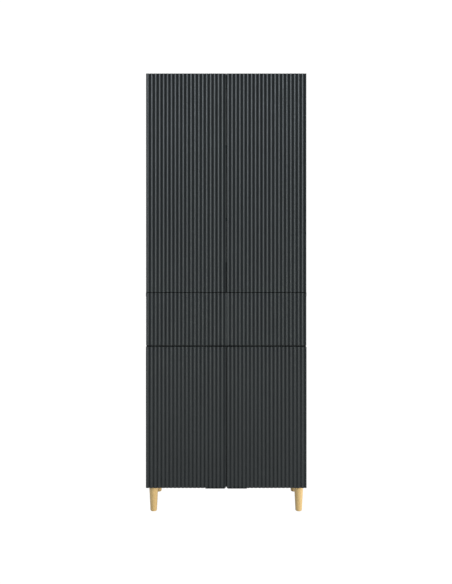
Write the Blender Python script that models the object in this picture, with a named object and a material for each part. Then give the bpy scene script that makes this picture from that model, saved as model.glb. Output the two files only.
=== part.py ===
"""Tall cupboard on turned legs, in two stacked modules.

The upper module holds two shelves behind a pair of tall doors. The lower module holds a full-width
drawer over a cupboard that a partition splits in two, each half with its own door and shelf. All five
fronts are reeded: rows of upright convex ribs.

The front faces -Y, +X is to the viewer's right, the floor is z = 0 and the origin is the middle of
the footprint. All lengths are in metres.
"""

import math

import bmesh
import bpy
from mathutils import Matrix, Vector

# Overall sizes.
OVERALL_HEIGHT = 2.200
OVERALL_DEPTH = 0.400
MODULE_WIDTH = 0.800
LEG_HEIGHT = 0.130
FRONT_LIP = 0.002  # how far the pulls stand out in front of the reeds

# Heights of the fronts and of the gaps between them, from the floor up.
LOWER_DOOR_HEIGHT = 0.705
GAP_UNDER_DRAWER = 0.007
DRAWER_FRONT_HEIGHT = 0.262
GAP_OVER_DRAWER = 0.003
SIDE_RISE = 0.0015  # the upper side panels end this far above the doors and the top

# Boards.
BOARD = 0.018
SHELF_BOARD = 0.016
MIDDLE_BOARD = 0.020
MIDDLE_OVERHANG = 0.0025
BACK_PANEL = 0.003
BACK_MARGIN = 0.0015
EDGE_CHAMFER = 0.0008
FIT = 0.0003  # clearance between pieces that touch
DIVIDER_OVERLAP = 0.0045  # how far the board under the drawer reaches down behind the lower doors

# Reeded fronts.
FRONT_THICKNESS = 0.018
FRONT_STANDOFF = 0.002
REED_PITCH = 0.0196
REED_DEPTH = 0.0045
REED_FACETS = 6
UPPER_DOOR_GAP = 0.002
LOWER_DOOR_GAP = 0.0045
LOWER_DOOR_OVERHANG = 0.001

# Shelves: height of each one's middle above the floor.
UPPER_SHELF_HEIGHTS = (1.470, 1.836)
LOWER_SHELF_HEIGHT = 0.489
SHELF_SETBACK = 0.018
SHELF_PLAY = 0.001

# Turned legs.
LEG_TOP_RADIUS = 0.023
LEG_FOOT_RADIUS = 0.0165
LEG_FOOT_ROUNDING = 0.005
LEG_INSET = 0.034
LEG_SEGMENTS = 32
ROUNDING_STEPS = 4
TURNING_MERGE = 0.00001  # closes the turned surface on its axis

# Shading: faces that meet at a sharper angle than this keep a hard edge.
REED_SMOOTH_ANGLE = math.radians(35)
CUP_SMOOTH_ANGLE = math.radians(40)

# Concealed cup hinges.
CUP_BORE_RADIUS = 0.0175
CUP_BORE_DEPTH = 0.0125
CUP_EDGE_DISTANCE = 0.0225
CUP_WALL = 0.0012
CUP_SEGMENTS = 24
CUP_WING_HEIGHT = 0.056
CUP_WING_WIDTH = 0.018
CUP_FLANGE = 0.0012
HINGE_END_DISTANCE = 0.100
PLATE_SETBACK = 0.037
PLATE_HEIGHT = 0.044
PLATE_DEPTH = 0.026
PLATE_THICKNESS = 0.003
ARM_WIDTH = 0.014
ARM_RISE = 0.016
ARM_TIP_LENGTH = 0.0065
ARM_TIP_THICKNESS = 0.010
ARM_TIP_SHOULDER = 0.008
ARM_TAIL = 0.018

# Edge pulls.
PULL_PLATE = 0.0012
DRAWER_PULL_PLATE = 0.0024
LOWER_PULL_PLATE = 0.0018
PULL_FLANGE = 0.014
UPPER_PULL_LENGTH = 0.150
DRAWER_PULL_LENGTH = 0.150
LOWER_PULL_LENGTH = 0.096
LOWER_PULL_MARGIN = 0.005
THUMB_NOTCH_LENGTH = 0.034
THUMB_NOTCH_DEPTH = 0.006

# Drawer box and its runners.
DRAWER_BOARD = 0.012
DRAWER_BOTTOM = 0.004
DRAWER_BOTTOM_RISE = 0.010
DRAWER_BOX_HEIGHT = 0.200
DRAWER_BOX_DEPTH = 0.345
DRAWER_BOX_LIFT = 0.0135  # from the board under the drawer to the box's lower edge
RUNNER_GAP = 0.0132
RUNNER_HEIGHT = 0.045
RUNNER_LENGTH = 0.346
RUNNER_SHEET = 0.0012
RUNNER_FLANGE = 0.0095
INNER_RAIL_HEIGHT = 0.032

# Heights and planes that follow from the driving dimensions.
LOWER_DOOR_BOTTOM = LEG_HEIGHT
LOWER_DOOR_TOP = LOWER_DOOR_BOTTOM + LOWER_DOOR_HEIGHT
DRAWER_FRONT_BOTTOM = LOWER_DOOR_TOP + GAP_UNDER_DRAWER
DRAWER_FRONT_TOP = DRAWER_FRONT_BOTTOM + DRAWER_FRONT_HEIGHT
UPPER_DOOR_BOTTOM = DRAWER_FRONT_TOP + GAP_OVER_DRAWER
UPPER_DOOR_TOP = OVERALL_HEIGHT - SIDE_RISE
MIDDLE_BOARD_TOP = DRAWER_FRONT_TOP
MIDDLE_BOARD_BOTTOM = MIDDLE_BOARD_TOP - MIDDLE_BOARD
UPPER_BODY_BOTTOM = MIDDLE_BOARD_TOP + FIT
DIVIDER_BOTTOM = LOWER_DOOR_TOP - DIVIDER_OVERLAP
DIVIDER_TOP = DIVIDER_BOTTOM + SHELF_BOARD
LIP_Y = -OVERALL_DEPTH / 2
FRONT_Y = LIP_Y + FRONT_LIP
FRONT_BACK_Y = FRONT_Y + FRONT_THICKNESS
CARCASS_FRONT_Y = FRONT_BACK_Y + FRONT_STANDOFF
BACK_Y = OVERALL_DEPTH / 2
CARCASS_BACK_Y = BACK_Y - BACK_PANEL - FIT
SIDE_OUTER_X = MODULE_WIDTH / 2
SIDE_INNER_X = SIDE_OUTER_X - BOARD
LOWER_DOOR_EDGE_X = SIDE_OUTER_X + LOWER_DOOR_OVERHANG
UPPER_HINGE_HEIGHTS = (
    UPPER_DOOR_BOTTOM + HINGE_END_DISTANCE,
    (UPPER_DOOR_BOTTOM + UPPER_DOOR_TOP) / 2,
    UPPER_DOOR_TOP - HINGE_END_DISTANCE,
)
LOWER_HINGE_HEIGHTS = (
    LOWER_DOOR_BOTTOM + HINGE_END_DISTANCE,
    LOWER_DOOR_TOP - HINGE_END_DISTANCE,
)
RUNNER_HEIGHT_ABOVE_FLOOR = DIVIDER_TOP + DRAWER_BOX_LIFT + DRAWER_BOX_HEIGHT / 2
SIDES = (("left", -1), ("right", 1))


# Materials.


def finish(name, colour, roughness, metallic=0.0):
    """A Principled material of one colour."""
    material = bpy.data.materials.new(name)
    material.use_nodes = True
    shader = material.node_tree.nodes["Principled BSDF"]
    shader.inputs["Base Color"].default_value = (*colour, 1.0)
    shader.inputs["Roughness"].default_value = roughness
    shader.inputs["Metallic"].default_value = metallic
    material.diffuse_color = (*colour, 1.0)
    return material


def make_finishes():
    return {
        "reeded_front": finish("reeded_front", (0.050, 0.057, 0.058), 0.42),
        "carcass": finish("carcass", (0.032, 0.035, 0.036), 0.50),
        "back_panel": finish("back_panel", (0.70, 0.70, 0.68), 0.55),
        "drawer_box": finish("drawer_box", (0.30, 0.31, 0.31), 0.50),
        "beech": finish("beech", (0.62, 0.42, 0.20), 0.45),
        "pull": finish("pull", (0.020, 0.021, 0.022), 0.40, 0.6),
        "steel": finish("steel", (0.60, 0.61, 0.62), 0.28, 1.0),
    }


# Building blocks.


def joint_line(name, position):
    """An empty that carries the pieces of one moving body, set on the line that the body turns about."""
    empty = bpy.data.objects.new(name, None)
    empty.location = position
    bpy.context.scene.collection.objects.link(empty)
    return empty


def place(name, mesh, material, position, parent, turn=0.0):
    """An object at a place given from the floor's origin, turned about Y, carried by its parent."""
    piece = bpy.data.objects.new(name, mesh)
    bpy.context.scene.collection.objects.link(piece)
    piece.parent = parent
    piece.location = Vector(position) - parent.location
    piece.rotation_euler = (0.0, turn, 0.0)
    if material and not mesh.materials:
        mesh.materials.append(material)
    return piece


def mesh_from(shape, name, smooth_angle=None):
    """Turns a bmesh into mesh data with its faces pointing outwards."""
    bmesh.ops.recalc_face_normals(shape, faces=shape.faces)
    mesh = bpy.data.meshes.new(name)
    shape.to_mesh(mesh)
    shape.free()
    if smooth_angle is not None:
        mesh.shade_smooth()
        mesh.set_sharp_from_angle(angle=smooth_angle)
    return mesh


def box_shape(low, high):
    """A bmesh box between two corners."""
    shape = bmesh.new()
    bmesh.ops.create_cube(shape, size=1.0)
    low = Vector(low)
    high = Vector(high)
    bmesh.ops.scale(shape, vec=high - low, verts=shape.verts)
    bmesh.ops.translate(shape, vec=(low + high) / 2, verts=shape.verts)
    return shape


def prism_shape(outline, bottom, top):
    """A flat outline in X and Y, extruded along Z."""
    shape = bmesh.new()
    corners = [shape.verts.new((x, y, bottom)) for x, y in outline]
    base = shape.faces.new(corners)
    raised = bmesh.ops.extrude_face_region(shape, geom=[base])["geom"]
    moved = [item for item in raised if isinstance(item, bmesh.types.BMVert)]
    bmesh.ops.translate(shape, vec=(0.0, 0.0, top - bottom), verts=moved)
    return shape


def lay_along_y(shape):
    """Turns an upright shape so that its height runs along Y."""
    quarter = Matrix.Rotation(-math.pi / 2, 3, "X")
    bmesh.ops.rotate(shape, cent=(0.0, 0.0, 0.0), matrix=quarter, verts=shape.verts)


def cylinder_shape(radius, front, back):
    """A round bar along Y, between two depths."""
    shape = bmesh.new()
    bmesh.ops.create_cone(
        shape,
        cap_ends=True,
        segments=CUP_SEGMENTS,
        radius1=radius,
        radius2=radius,
        depth=back - front,
    )
    lay_along_y(shape)
    bmesh.ops.translate(shape, vec=(0.0, (front + back) / 2, 0.0), verts=shape.verts)
    return shape


def board(name, low, high, material, parent):
    """A panel between two corners, its edges slightly eased, placed by its centre."""
    half = (Vector(high) - Vector(low)) / 2
    mesh = mesh_from(box_shape(-half, half), name)
    piece = place(name, mesh, material, Vector(low) + half, parent)
    easing = piece.modifiers.new("eased_edges", "BEVEL")
    easing.width = EDGE_CHAMFER
    easing.segments = 1
    return piece


def cutter(name, shape, position, parent):
    """A hidden helper that a Boolean takes away from a piece."""
    helper = place(name, mesh_from(shape, name), None, position, parent)
    helper.hide_render = True
    helper.display_type = "WIRE"
    return helper


def combine(piece, helper, operation):
    change = piece.modifiers.new(operation.lower() + "_" + helper.name, "BOOLEAN")
    change.operation = operation
    change.object = helper


def finished_mesh(piece, name):
    """The mesh of a piece with its modifiers worked out, ready to be shared by its copies."""
    graph = bpy.context.evaluated_depsgraph_get()
    mesh = bpy.data.meshes.new_from_object(piece.evaluated_get(graph))
    mesh.name = name
    return mesh


# Legs.


def leg_profile():
    """The leg's outline from the top's middle, down the taper and round the foot to the sole's middle."""
    top = LEG_HEIGHT - FIT
    points = [(0.0, top), (LEG_TOP_RADIUS, top)]
    for step in range(ROUNDING_STEPS + 1):
        angle = math.pi / 2 * step / ROUNDING_STEPS
        radius = LEG_FOOT_RADIUS - LEG_FOOT_ROUNDING * (1.0 - math.cos(angle))
        points.append((radius, LEG_FOOT_ROUNDING * (1.0 - math.sin(angle))))
    points.append((0.0, 0.0))
    return points


def make_legs(carcass, finishes):
    """Four turned cones under the lower module's corners."""
    shape = bmesh.new()
    corners = [shape.verts.new((radius, 0.0, height)) for radius, height in leg_profile()]
    for upper, lower in zip(corners, corners[1:]):
        shape.edges.new((upper, lower))
    mesh = bpy.data.meshes.new("leg_profile")
    shape.to_mesh(mesh)
    shape.free()
    rows = (
        ("front", CARCASS_FRONT_Y + LEG_INSET),
        ("rear", CARCASS_BACK_Y - LEG_INSET),
    )
    for row, y in rows:
        for side, sign in SIDES:
            x = sign * (SIDE_OUTER_X - LEG_INSET)
            leg = place(f"leg_{row}_{side}", mesh, finishes["beech"], (x, y, 0.0), carcass)
            turning = leg.modifiers.new("turning", "SCREW")
            turning.axis = "Z"
            turning.steps = LEG_SEGMENTS
            turning.render_steps = LEG_SEGMENTS
            turning.use_merge_vertices = True
            turning.merge_threshold = TURNING_MERGE
            turning.use_smooth_shade = True


# Carcass.


def make_sides(prefix, bottom, top, carcass, finishes):
    for side, sign in SIDES:
        edges = sorted((sign * SIDE_OUTER_X, sign * SIDE_INNER_X))
        low = (edges[0], CARCASS_FRONT_Y, bottom)
        high = (edges[1], CARCASS_BACK_Y, top)
        board(f"{prefix}_side_{side}", low, high, finishes["carcass"], carcass)


def between_sides(name, bottom, thickness, carcass, finishes):
    """A board across the module, between its two sides."""
    reach = SIDE_INNER_X - FIT
    low = (-reach, CARCASS_FRONT_Y, bottom)
    high = (reach, CARCASS_BACK_Y, bottom + thickness)
    board(name, low, high, finishes["carcass"], carcass)


def shelf(name, left, right, middle_height, carcass, finishes):
    """A loose shelf, a little shorter than its bay and set back from the front."""
    low = (left + SHELF_PLAY, CARCASS_FRONT_Y + SHELF_SETBACK, middle_height - SHELF_BOARD / 2)
    high = (right - SHELF_PLAY, CARCASS_BACK_Y - FIT, middle_height + SHELF_BOARD / 2)
    board(name, low, high, finishes["carcass"], carcass)


def back_panel(name, bottom, top, carcass, finishes):
    """A thin board over the rear edges of a module."""
    reach = SIDE_OUTER_X - BACK_MARGIN
    low = (-reach, BACK_Y - BACK_PANEL, bottom + BACK_MARGIN)
    high = (reach, BACK_Y, top - BACK_MARGIN)
    board(name, low, high, finishes["back_panel"], carcass)


def make_lower_carcass(carcass, finishes):
    make_sides("lower", LEG_HEIGHT, MIDDLE_BOARD_BOTTOM - FIT, carcass, finishes)
    between_sides("lower_bottom", LEG_HEIGHT, BOARD, carcass, finishes)
    between_sides("drawer_divider", DIVIDER_BOTTOM, SHELF_BOARD, carcass, finishes)

    reach = SIDE_OUTER_X + MIDDLE_OVERHANG
    low = (-reach, CARCASS_FRONT_Y, MIDDLE_BOARD_BOTTOM)
    high = (reach, CARCASS_BACK_Y, MIDDLE_BOARD_TOP)
    board("lower_top", low, high, finishes["carcass"], carcass)

    half = SHELF_BOARD / 2
    low = (-half, CARCASS_FRONT_Y, LEG_HEIGHT + BOARD + FIT)
    high = (half, CARCASS_BACK_Y, DIVIDER_BOTTOM - FIT)
    board("lower_partition", low, high, finishes["carcass"], carcass)

    shelf("lower_shelf_left", -SIDE_INNER_X, -half, LOWER_SHELF_HEIGHT, carcass, finishes)
    shelf("lower_shelf_right", half, SIDE_INNER_X, LOWER_SHELF_HEIGHT, carcass, finishes)
    back_panel("lower_back", LEG_HEIGHT, MIDDLE_BOARD_TOP, carcass, finishes)


def make_upper_carcass(carcass, finishes):
    make_sides("upper", UPPER_BODY_BOTTOM, OVERALL_HEIGHT, carcass, finishes)
    between_sides("upper_bottom", UPPER_BODY_BOTTOM, BOARD, carcass, finishes)
    between_sides("upper_top", UPPER_DOOR_TOP - BOARD, BOARD, carcass, finishes)
    for name, height in zip(("upper_shelf_lower", "upper_shelf_higher"), UPPER_SHELF_HEIGHTS):
        shelf(name, -SIDE_INNER_X, SIDE_INNER_X, height, carcass, finishes)
    back_panel("upper_back", UPPER_BODY_BOTTOM, UPPER_DOOR_TOP, carcass, finishes)


# Hinges.


def hinge_arm_mesh(carcass):
    """The fixed half of a hinge, for the left side panel.

    A plate lies on the panel. The arm stands on it, runs forward and ends in a tongue that reaches
    into the cup. The mesh's origin is the middle of the plate's face on the panel.
    """
    plate_low = (FIT, -PLATE_DEPTH / 2, -PLATE_HEIGHT / 2)
    plate_high = (FIT + PLATE_THICKNESS, PLATE_DEPTH / 2, PLATE_HEIGHT / 2)
    plate = cutter("hinge_plate_blank", box_shape(plate_low, plate_high), (0, 0, 0), carcass)

    foot = FIT + PLATE_THICKNESS / 2
    front = -PLATE_SETBACK
    tip = front - ARM_TIP_LENGTH
    shoulder = front + ARM_TIP_SHOULDER
    tongue = ARM_RISE - ARM_TIP_THICKNESS
    outline = (
        (foot, ARM_TAIL),
        (foot, shoulder),
        (tongue, front + FRONT_STANDOFF),
        (tongue, tip),
        (ARM_RISE, tip),
        (ARM_RISE, shoulder),
        (ARM_RISE - PLATE_THICKNESS, ARM_TAIL),
    )
    shape = prism_shape(outline, -ARM_WIDTH / 2, ARM_WIDTH / 2)
    arm = cutter("hinge_arm_blank", shape, (0, 0, 0), carcass)
    combine(arm, plate, "UNION")
    return finished_mesh(arm, "hinge_arm")


def hinge_cup_mesh(carcass):
    """The moving half of a hinge: a steel cup with a winged flange.

    The mesh's origin is the middle of the cup's mouth, in the plane of the door's back.
    """
    radius = CUP_BORE_RADIUS - FIT
    depth = CUP_BORE_DEPTH - FIT
    wing_low = (-CUP_WING_WIDTH / 2, FIT, -CUP_WING_HEIGHT / 2)
    wing_high = (CUP_WING_WIDTH / 2, FIT + CUP_FLANGE, CUP_WING_HEIGHT / 2)
    wings = cutter("cup_wings_blank", box_shape(wing_low, wing_high), (0, 0, 0), carcass)

    body_shape = cylinder_shape(radius, -depth, FIT + CUP_FLANGE)
    body = cutter("cup_body_blank", body_shape, (0, 0, 0), carcass)
    hollow_shape = cylinder_shape(radius - CUP_WALL, CUP_WALL - depth, 2 * CUP_FLANGE)
    hollow = cutter("cup_hollow_blank", hollow_shape, (0, 0, 0), carcass)
    combine(body, wings, "UNION")
    combine(body, hollow, "DIFFERENCE")
    mesh = finished_mesh(body, "hinge_cup")
    mesh.shade_smooth()
    mesh.set_sharp_from_angle(angle=CUP_SMOOTH_ANGLE)
    return mesh


def add_hinges(prefix, side, sign, edge_x, heights, door_line, carcass, meshes, finishes):
    """One arm on the side panel and one cup in the door at each height."""
    turn = 0.0 if sign < 0 else math.pi
    arm_y = CARCASS_FRONT_Y + PLATE_SETBACK
    for number, height in enumerate(heights, start=1):
        arm_place = (sign * SIDE_INNER_X, arm_y, height)
        name = f"{prefix}_hinge_arm_{side}_{number}"
        place(name, meshes["arm"], finishes["steel"], arm_place, carcass, turn)
        cup_place = (edge_x - sign * CUP_EDGE_DISTANCE, FRONT_BACK_Y, height)
        name = f"{prefix}_hinge_cup_{side}_{number}"
        place(name, meshes["cup"], finishes["steel"], cup_place, door_line)


# Reeded fronts.


def reed_hollow(along):
    """Depth behind the crest, at a distance along a reed that starts in a groove: a circular arc."""
    radius = (REED_PITCH**2 / 4 + REED_DEPTH**2) / (2 * REED_DEPTH)
    offset = along - REED_PITCH / 2
    return radius - math.sqrt(radius**2 - offset**2)


def reeded_run(start, end):
    """Points of the reeded face from start to end, the first reed beginning in a groove at start."""
    step = REED_PITCH / REED_FACETS
    count = math.ceil((end - start) / step)
    points = []
    for index in range(count):
        along = index * step
        points.append((start + along, reed_hollow(along % REED_PITCH)))
    points.append((end, reed_hollow((end - start) % REED_PITCH)))
    return points


def reeded_outline(runs):
    """The plan of a front: its reeded runs from left to right, then its flat back."""
    outline = []
    for start, end in runs:
        outline.extend(reeded_run(start, end))
    outline.append((runs[-1][1], FRONT_THICKNESS))
    outline.append((runs[0][0], FRONT_THICKNESS))
    return outline


def make_front(name, runs, bottom, top, line, finishes):
    """A reeded front whose mesh is measured from its hinge line or, on the drawer, from its middle."""
    shape = prism_shape(reeded_outline(runs), 0.0, top - bottom)
    mesh = mesh_from(shape, name, smooth_angle=REED_SMOOTH_ANGLE)
    position = (line.location.x, FRONT_Y, bottom)
    return place(name, mesh, finishes["reeded_front"], position, line)


def bore_for_cups(door, edge_x, sign, heights, line):
    """Takes the round pockets for the hinge cups out of a door's back."""
    bores = bmesh.new()
    for height in heights:
        single = cylinder_shape(CUP_BORE_RADIUS, -CUP_BORE_DEPTH, FRONT_THICKNESS / 2)
        bmesh.ops.translate(single, vec=(0.0, 0.0, height), verts=single.verts)
        scratch = bpy.data.meshes.new("bore")
        single.to_mesh(scratch)
        single.free()
        bores.from_mesh(scratch)
        bpy.data.meshes.remove(scratch)
    position = (edge_x - sign * CUP_EDGE_DISTANCE, FRONT_BACK_Y, 0.0)
    combine(door, cutter(f"{door.name}_cup_bores", bores, position, line), "DIFFERENCE")


def make_door(prefix, side, sign, edge_x, gap, bottom, top, line, heights, finishes):
    """One door, its first reed beginning in a groove at its left edge whichever side it hangs on."""
    closing_x = sign * gap / 2
    left, right = sorted((edge_x, closing_x))
    runs = [(left - edge_x, right - edge_x)]
    door = make_front(f"{prefix}_door_{side}", runs, bottom, top, line, finishes)
    bore_for_cups(door, edge_x, sign, heights, line)
    return door


# Edge pulls.


def pull_mesh(name, length, plate, notch=0.0):
    """An angle of bent sheet that wraps the edge of a front.

    It lies along Z. The plate covers the edge, facing +X, from the lip in front to the back of the
    front; the flange turns towards -X behind it. A notch can be taken out of the lip's middle. The
    mesh's origin is the middle of the length, on the edge's own plane, level with the crests.
    """
    back = FRONT_THICKNESS + FIT + PULL_PLATE
    outline = (
        (FIT, -FRONT_LIP),
        (FIT + plate, -FRONT_LIP),
        (FIT + plate, back),
        (FIT - PULL_FLANGE, back),
        (FIT - PULL_FLANGE, back - PULL_PLATE),
        (FIT, back - PULL_PLATE),
    )
    shape = prism_shape(outline, -length / 2, length / 2)
    if not notch:
        return mesh_from(shape, name)
    return mesh_from(notched(shape, notch, plate), name)


def notched(shape, notch, plate):
    """Cuts the lip back over the middle of its length, with sloping ends."""
    for cut in (-notch / 2, notch / 2):
        for offset in (-THUMB_NOTCH_DEPTH / 2, THUMB_NOTCH_DEPTH / 2):
            everything = shape.verts[:] + shape.edges[:] + shape.faces[:]
            bmesh.ops.bisect_plane(
                shape,
                geom=everything,
                plane_co=(0.0, 0.0, cut + offset),
                plane_no=(0.0, 0.0, 1.0),
            )
    floor_end = (notch - THUMB_NOTCH_DEPTH) / 2
    slope_end = (notch + THUMB_NOTCH_DEPTH) / 2
    for corner in shape.verts:
        on_lip = corner.co.y < 0.0 and corner.co.x > -plate
        if on_lip and abs(corner.co.z) < (floor_end + slope_end) / 2:
            corner.co.y += THUMB_NOTCH_DEPTH
    return shape


def add_upper_pull(door, side, sign, line, finishes):
    """Lets a pull into the foot of an upper door's closing edge, flush with it."""
    edge_x = sign * UPPER_DOOR_GAP / 2
    middle = UPPER_DOOR_BOTTOM + UPPER_PULL_LENGTH / 2
    depth = PULL_PLATE + 2 * FIT
    low = (-depth, -FRONT_THICKNESS, -UPPER_PULL_LENGTH)
    high = (depth, 2 * FRONT_THICKNESS, UPPER_PULL_LENGTH / 2 + FIT)
    helper = cutter(f"{door.name}_rebate", box_shape(low, high), (edge_x, FRONT_Y, middle), line)
    combine(door, helper, "DIFFERENCE")

    mesh = pull_mesh(f"upper_pull_{side}", UPPER_PULL_LENGTH, PULL_PLATE)
    turn = 0.0 if sign < 0 else math.pi
    position = (edge_x + sign * depth, FRONT_Y, middle)
    place(f"upper_pull_{side}", mesh, finishes["pull"], position, line, turn)


def add_lower_pull(side, sign, line, finishes):
    """Wraps a pull round the bottom edge of a lower door, next to its closing edge."""
    mesh = pull_mesh(f"lower_pull_{side}", LOWER_PULL_LENGTH, LOWER_PULL_PLATE)
    middle = sign * (LOWER_DOOR_GAP / 2 + LOWER_PULL_MARGIN + LOWER_PULL_LENGTH / 2)
    position = (middle, FRONT_Y, LOWER_DOOR_BOTTOM)
    place(f"lower_pull_{side}", mesh, finishes["pull"], position, line, math.pi / 2)


# Doors with their hinges and pulls.


def make_doors(carcass, finishes):
    meshes = {"arm": hinge_arm_mesh(carcass), "cup": hinge_cup_mesh(carcass)}
    for side, sign in SIDES:
        edge_x = sign * SIDE_OUTER_X
        line = joint_line(f"upper_{side}_hinge_line", (edge_x, FRONT_Y, 0.0))
        door = make_door(
            "upper",
            side,
            sign,
            edge_x,
            UPPER_DOOR_GAP,
            UPPER_DOOR_BOTTOM,
            UPPER_DOOR_TOP,
            line,
            UPPER_HINGE_HEIGHTS,
            finishes,
        )
        add_upper_pull(door, side, sign, line, finishes)
        heights = UPPER_HINGE_HEIGHTS
        add_hinges("upper", side, sign, edge_x, heights, line, carcass, meshes, finishes)

        edge_x = sign * LOWER_DOOR_EDGE_X
        line = joint_line(f"lower_{side}_hinge_line", (edge_x, FRONT_Y, 0.0))
        make_door(
            "lower",
            side,
            sign,
            edge_x,
            LOWER_DOOR_GAP,
            LOWER_DOOR_BOTTOM,
            LOWER_DOOR_TOP,
            line,
            LOWER_HINGE_HEIGHTS,
            finishes,
        )
        add_lower_pull(side, sign, line, finishes)
        heights = LOWER_HINGE_HEIGHTS
        add_hinges("lower", side, sign, edge_x, heights, line, carcass, meshes, finishes)


# Drawer.


def rail_mesh(name, height, opening):
    """A channel of sheet steel along Y, its web upright and its flanges pointing towards opening."""
    reach = opening * RUNNER_FLANGE
    sheet = opening * RUNNER_SHEET
    half = height / 2
    inner = half - RUNNER_SHEET
    outline = (
        (0.0, -half),
        (reach, -half),
        (reach, -inner),
        (sheet, -inner),
        (sheet, inner),
        (reach, inner),
        (reach, half),
        (0.0, half),
    )
    shape = prism_shape(outline, 0.0, RUNNER_LENGTH)
    lay_along_y(shape)
    return mesh_from(shape, name)


def make_runners(carcass, slide, finishes):
    """On each side, an outer rail on the carcass and a smaller inner rail on the drawer box."""
    outer = rail_mesh("runner_rail", RUNNER_HEIGHT, 1)
    inner = rail_mesh("drawer_rail", INNER_RAIL_HEIGHT, -1)
    front = CARCASS_FRONT_Y + EDGE_CHAMFER
    height = RUNNER_HEIGHT_ABOVE_FLOOR
    for side, sign in SIDES:
        turn = 0.0 if sign < 0 else math.pi
        position = (sign * (SIDE_INNER_X - FIT), front, height)
        place(f"runner_rail_{side}", outer, finishes["steel"], position, carcass, turn)
        position = (sign * (SIDE_INNER_X - RUNNER_GAP + FIT), front, height)
        place(f"drawer_rail_{side}", inner, finishes["steel"], position, slide, turn)


def make_drawer_box(slide, finishes):
    """Two sides, a front board, a back board and a bottom let in between them."""
    outer = SIDE_INNER_X - RUNNER_GAP
    inner = outer - DRAWER_BOARD
    front = FRONT_BACK_Y + FIT
    back = front + DRAWER_BOX_DEPTH
    bottom = DIVIDER_TOP + DRAWER_BOX_LIFT
    top = bottom + DRAWER_BOX_HEIGHT
    material = finishes["drawer_box"]
    for side, sign in SIDES:
        left, right = sorted((sign * outer, sign * inner))
        board(f"drawer_side_{side}", (left, front, bottom), (right, back, top), material, slide)
    reach = inner - FIT
    low = (-reach, front, bottom)
    high = (reach, front + DRAWER_BOARD, top)
    board("drawer_box_front", low, high, material, slide)
    low = (-reach, back - DRAWER_BOARD, bottom)
    high = (reach, back, top)
    board("drawer_back", low, high, material, slide)
    low = (-reach, front + DRAWER_BOARD + FIT, bottom + DRAWER_BOTTOM_RISE)
    high = (reach, back - DRAWER_BOARD - FIT, bottom + DRAWER_BOTTOM_RISE + DRAWER_BOTTOM)
    board("drawer_bottom", low, high, material, slide)


def make_drawer(carcass, finishes):
    slide = joint_line("drawer_slide_line", (0.0, FRONT_Y, 0.0))
    seam = UPPER_DOOR_GAP / 2
    runs = [(-SIDE_OUTER_X, seam), (seam, SIDE_OUTER_X)]
    make_front("drawer_front", runs, DRAWER_FRONT_BOTTOM, DRAWER_FRONT_TOP, slide, finishes)
    mesh = pull_mesh("drawer_pull", DRAWER_PULL_LENGTH, DRAWER_PULL_PLATE, THUMB_NOTCH_LENGTH)
    position = (0.0, FRONT_Y, DRAWER_FRONT_BOTTOM)
    place("drawer_pull", mesh, finishes["pull"], position, slide, math.pi / 2)
    make_drawer_box(slide, finishes)
    make_runners(carcass, slide, finishes)


def main():
    for old in list(bpy.data.objects):
        bpy.data.objects.remove(old, do_unlink=True)
    finishes = make_finishes()
    carcass = joint_line("carcass_origin", (0.0, 0.0, 0.0))
    make_legs(carcass, finishes)
    make_lower_carcass(carcass, finishes)
    make_upper_carcass(carcass, finishes)
    make_doors(carcass, finishes)
    make_drawer(carcass, finishes)


main()
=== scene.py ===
# %% [markdown]
# # A tall cupboard with reeded fronts
# The cupboard is two stacked modules on turned beech legs. Its five fronts, two tall doors, a full-width
# drawer and two low doors, are rows of upright convex ribs called reeds, wrapped in a dark satin foil.
# The fixed frame comes first: every size and place below is read from it, so nothing is fitted by eye.
# All lengths are in metres. The front faces -Y, +X is to the right and the floor is z = 0.

# %% Open the frame
import math

import bmesh
import bpy
import numpy as np
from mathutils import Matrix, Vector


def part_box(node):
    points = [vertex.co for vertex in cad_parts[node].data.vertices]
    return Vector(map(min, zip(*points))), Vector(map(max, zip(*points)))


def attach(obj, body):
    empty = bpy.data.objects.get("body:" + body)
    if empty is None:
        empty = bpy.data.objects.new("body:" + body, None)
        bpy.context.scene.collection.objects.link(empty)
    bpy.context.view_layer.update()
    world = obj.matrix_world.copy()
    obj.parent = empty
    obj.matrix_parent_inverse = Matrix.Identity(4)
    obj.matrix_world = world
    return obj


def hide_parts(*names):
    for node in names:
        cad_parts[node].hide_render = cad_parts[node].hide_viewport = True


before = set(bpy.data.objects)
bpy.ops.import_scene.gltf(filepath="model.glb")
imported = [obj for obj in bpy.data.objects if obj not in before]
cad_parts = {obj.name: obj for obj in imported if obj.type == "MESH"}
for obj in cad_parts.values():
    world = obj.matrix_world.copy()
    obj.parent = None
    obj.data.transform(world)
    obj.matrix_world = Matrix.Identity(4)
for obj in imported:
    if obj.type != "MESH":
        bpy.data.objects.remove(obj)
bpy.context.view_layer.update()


# %% [markdown]
# ## Surfaces from arrays
# A joiner's piece is mostly one outline carried in a straight line: a reeded board, a bent pull, a rail.
# So a surface here is a grid of points, one row for each step along the path and one column for each step
# round the outline, worked out as whole arrays. The ends are rolled over by a small quarter circle,
# because no real board or sheet ends in a perfectly sharp edge, and that edge is what catches the light.

# %% A grid of points as a closed surface
ROUND = 2 * math.pi
WELD = 1e-6  # points closer than this are one point


def shell(grid, caps=True):
    """Points, quads and end caps of a grid whose columns run round a closed outline.

    caps closes both ends with one flat face each. A grid that starts and ends in a point needs none.
    """
    rows, columns = grid.shape[:2]
    index = np.arange(rows * columns).reshape(rows, columns)
    around = np.concatenate([index, index[:, :1]], axis=1)
    corners = (around[:-1, :-1], around[:-1, 1:], around[1:, 1:], around[1:, :-1])
    quads = np.stack(corners, axis=-1).reshape(-1, 4)
    ends = [index[0, ::-1], index[-1]] if caps else []
    return grid.reshape(-1, 3), quads, ends


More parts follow.
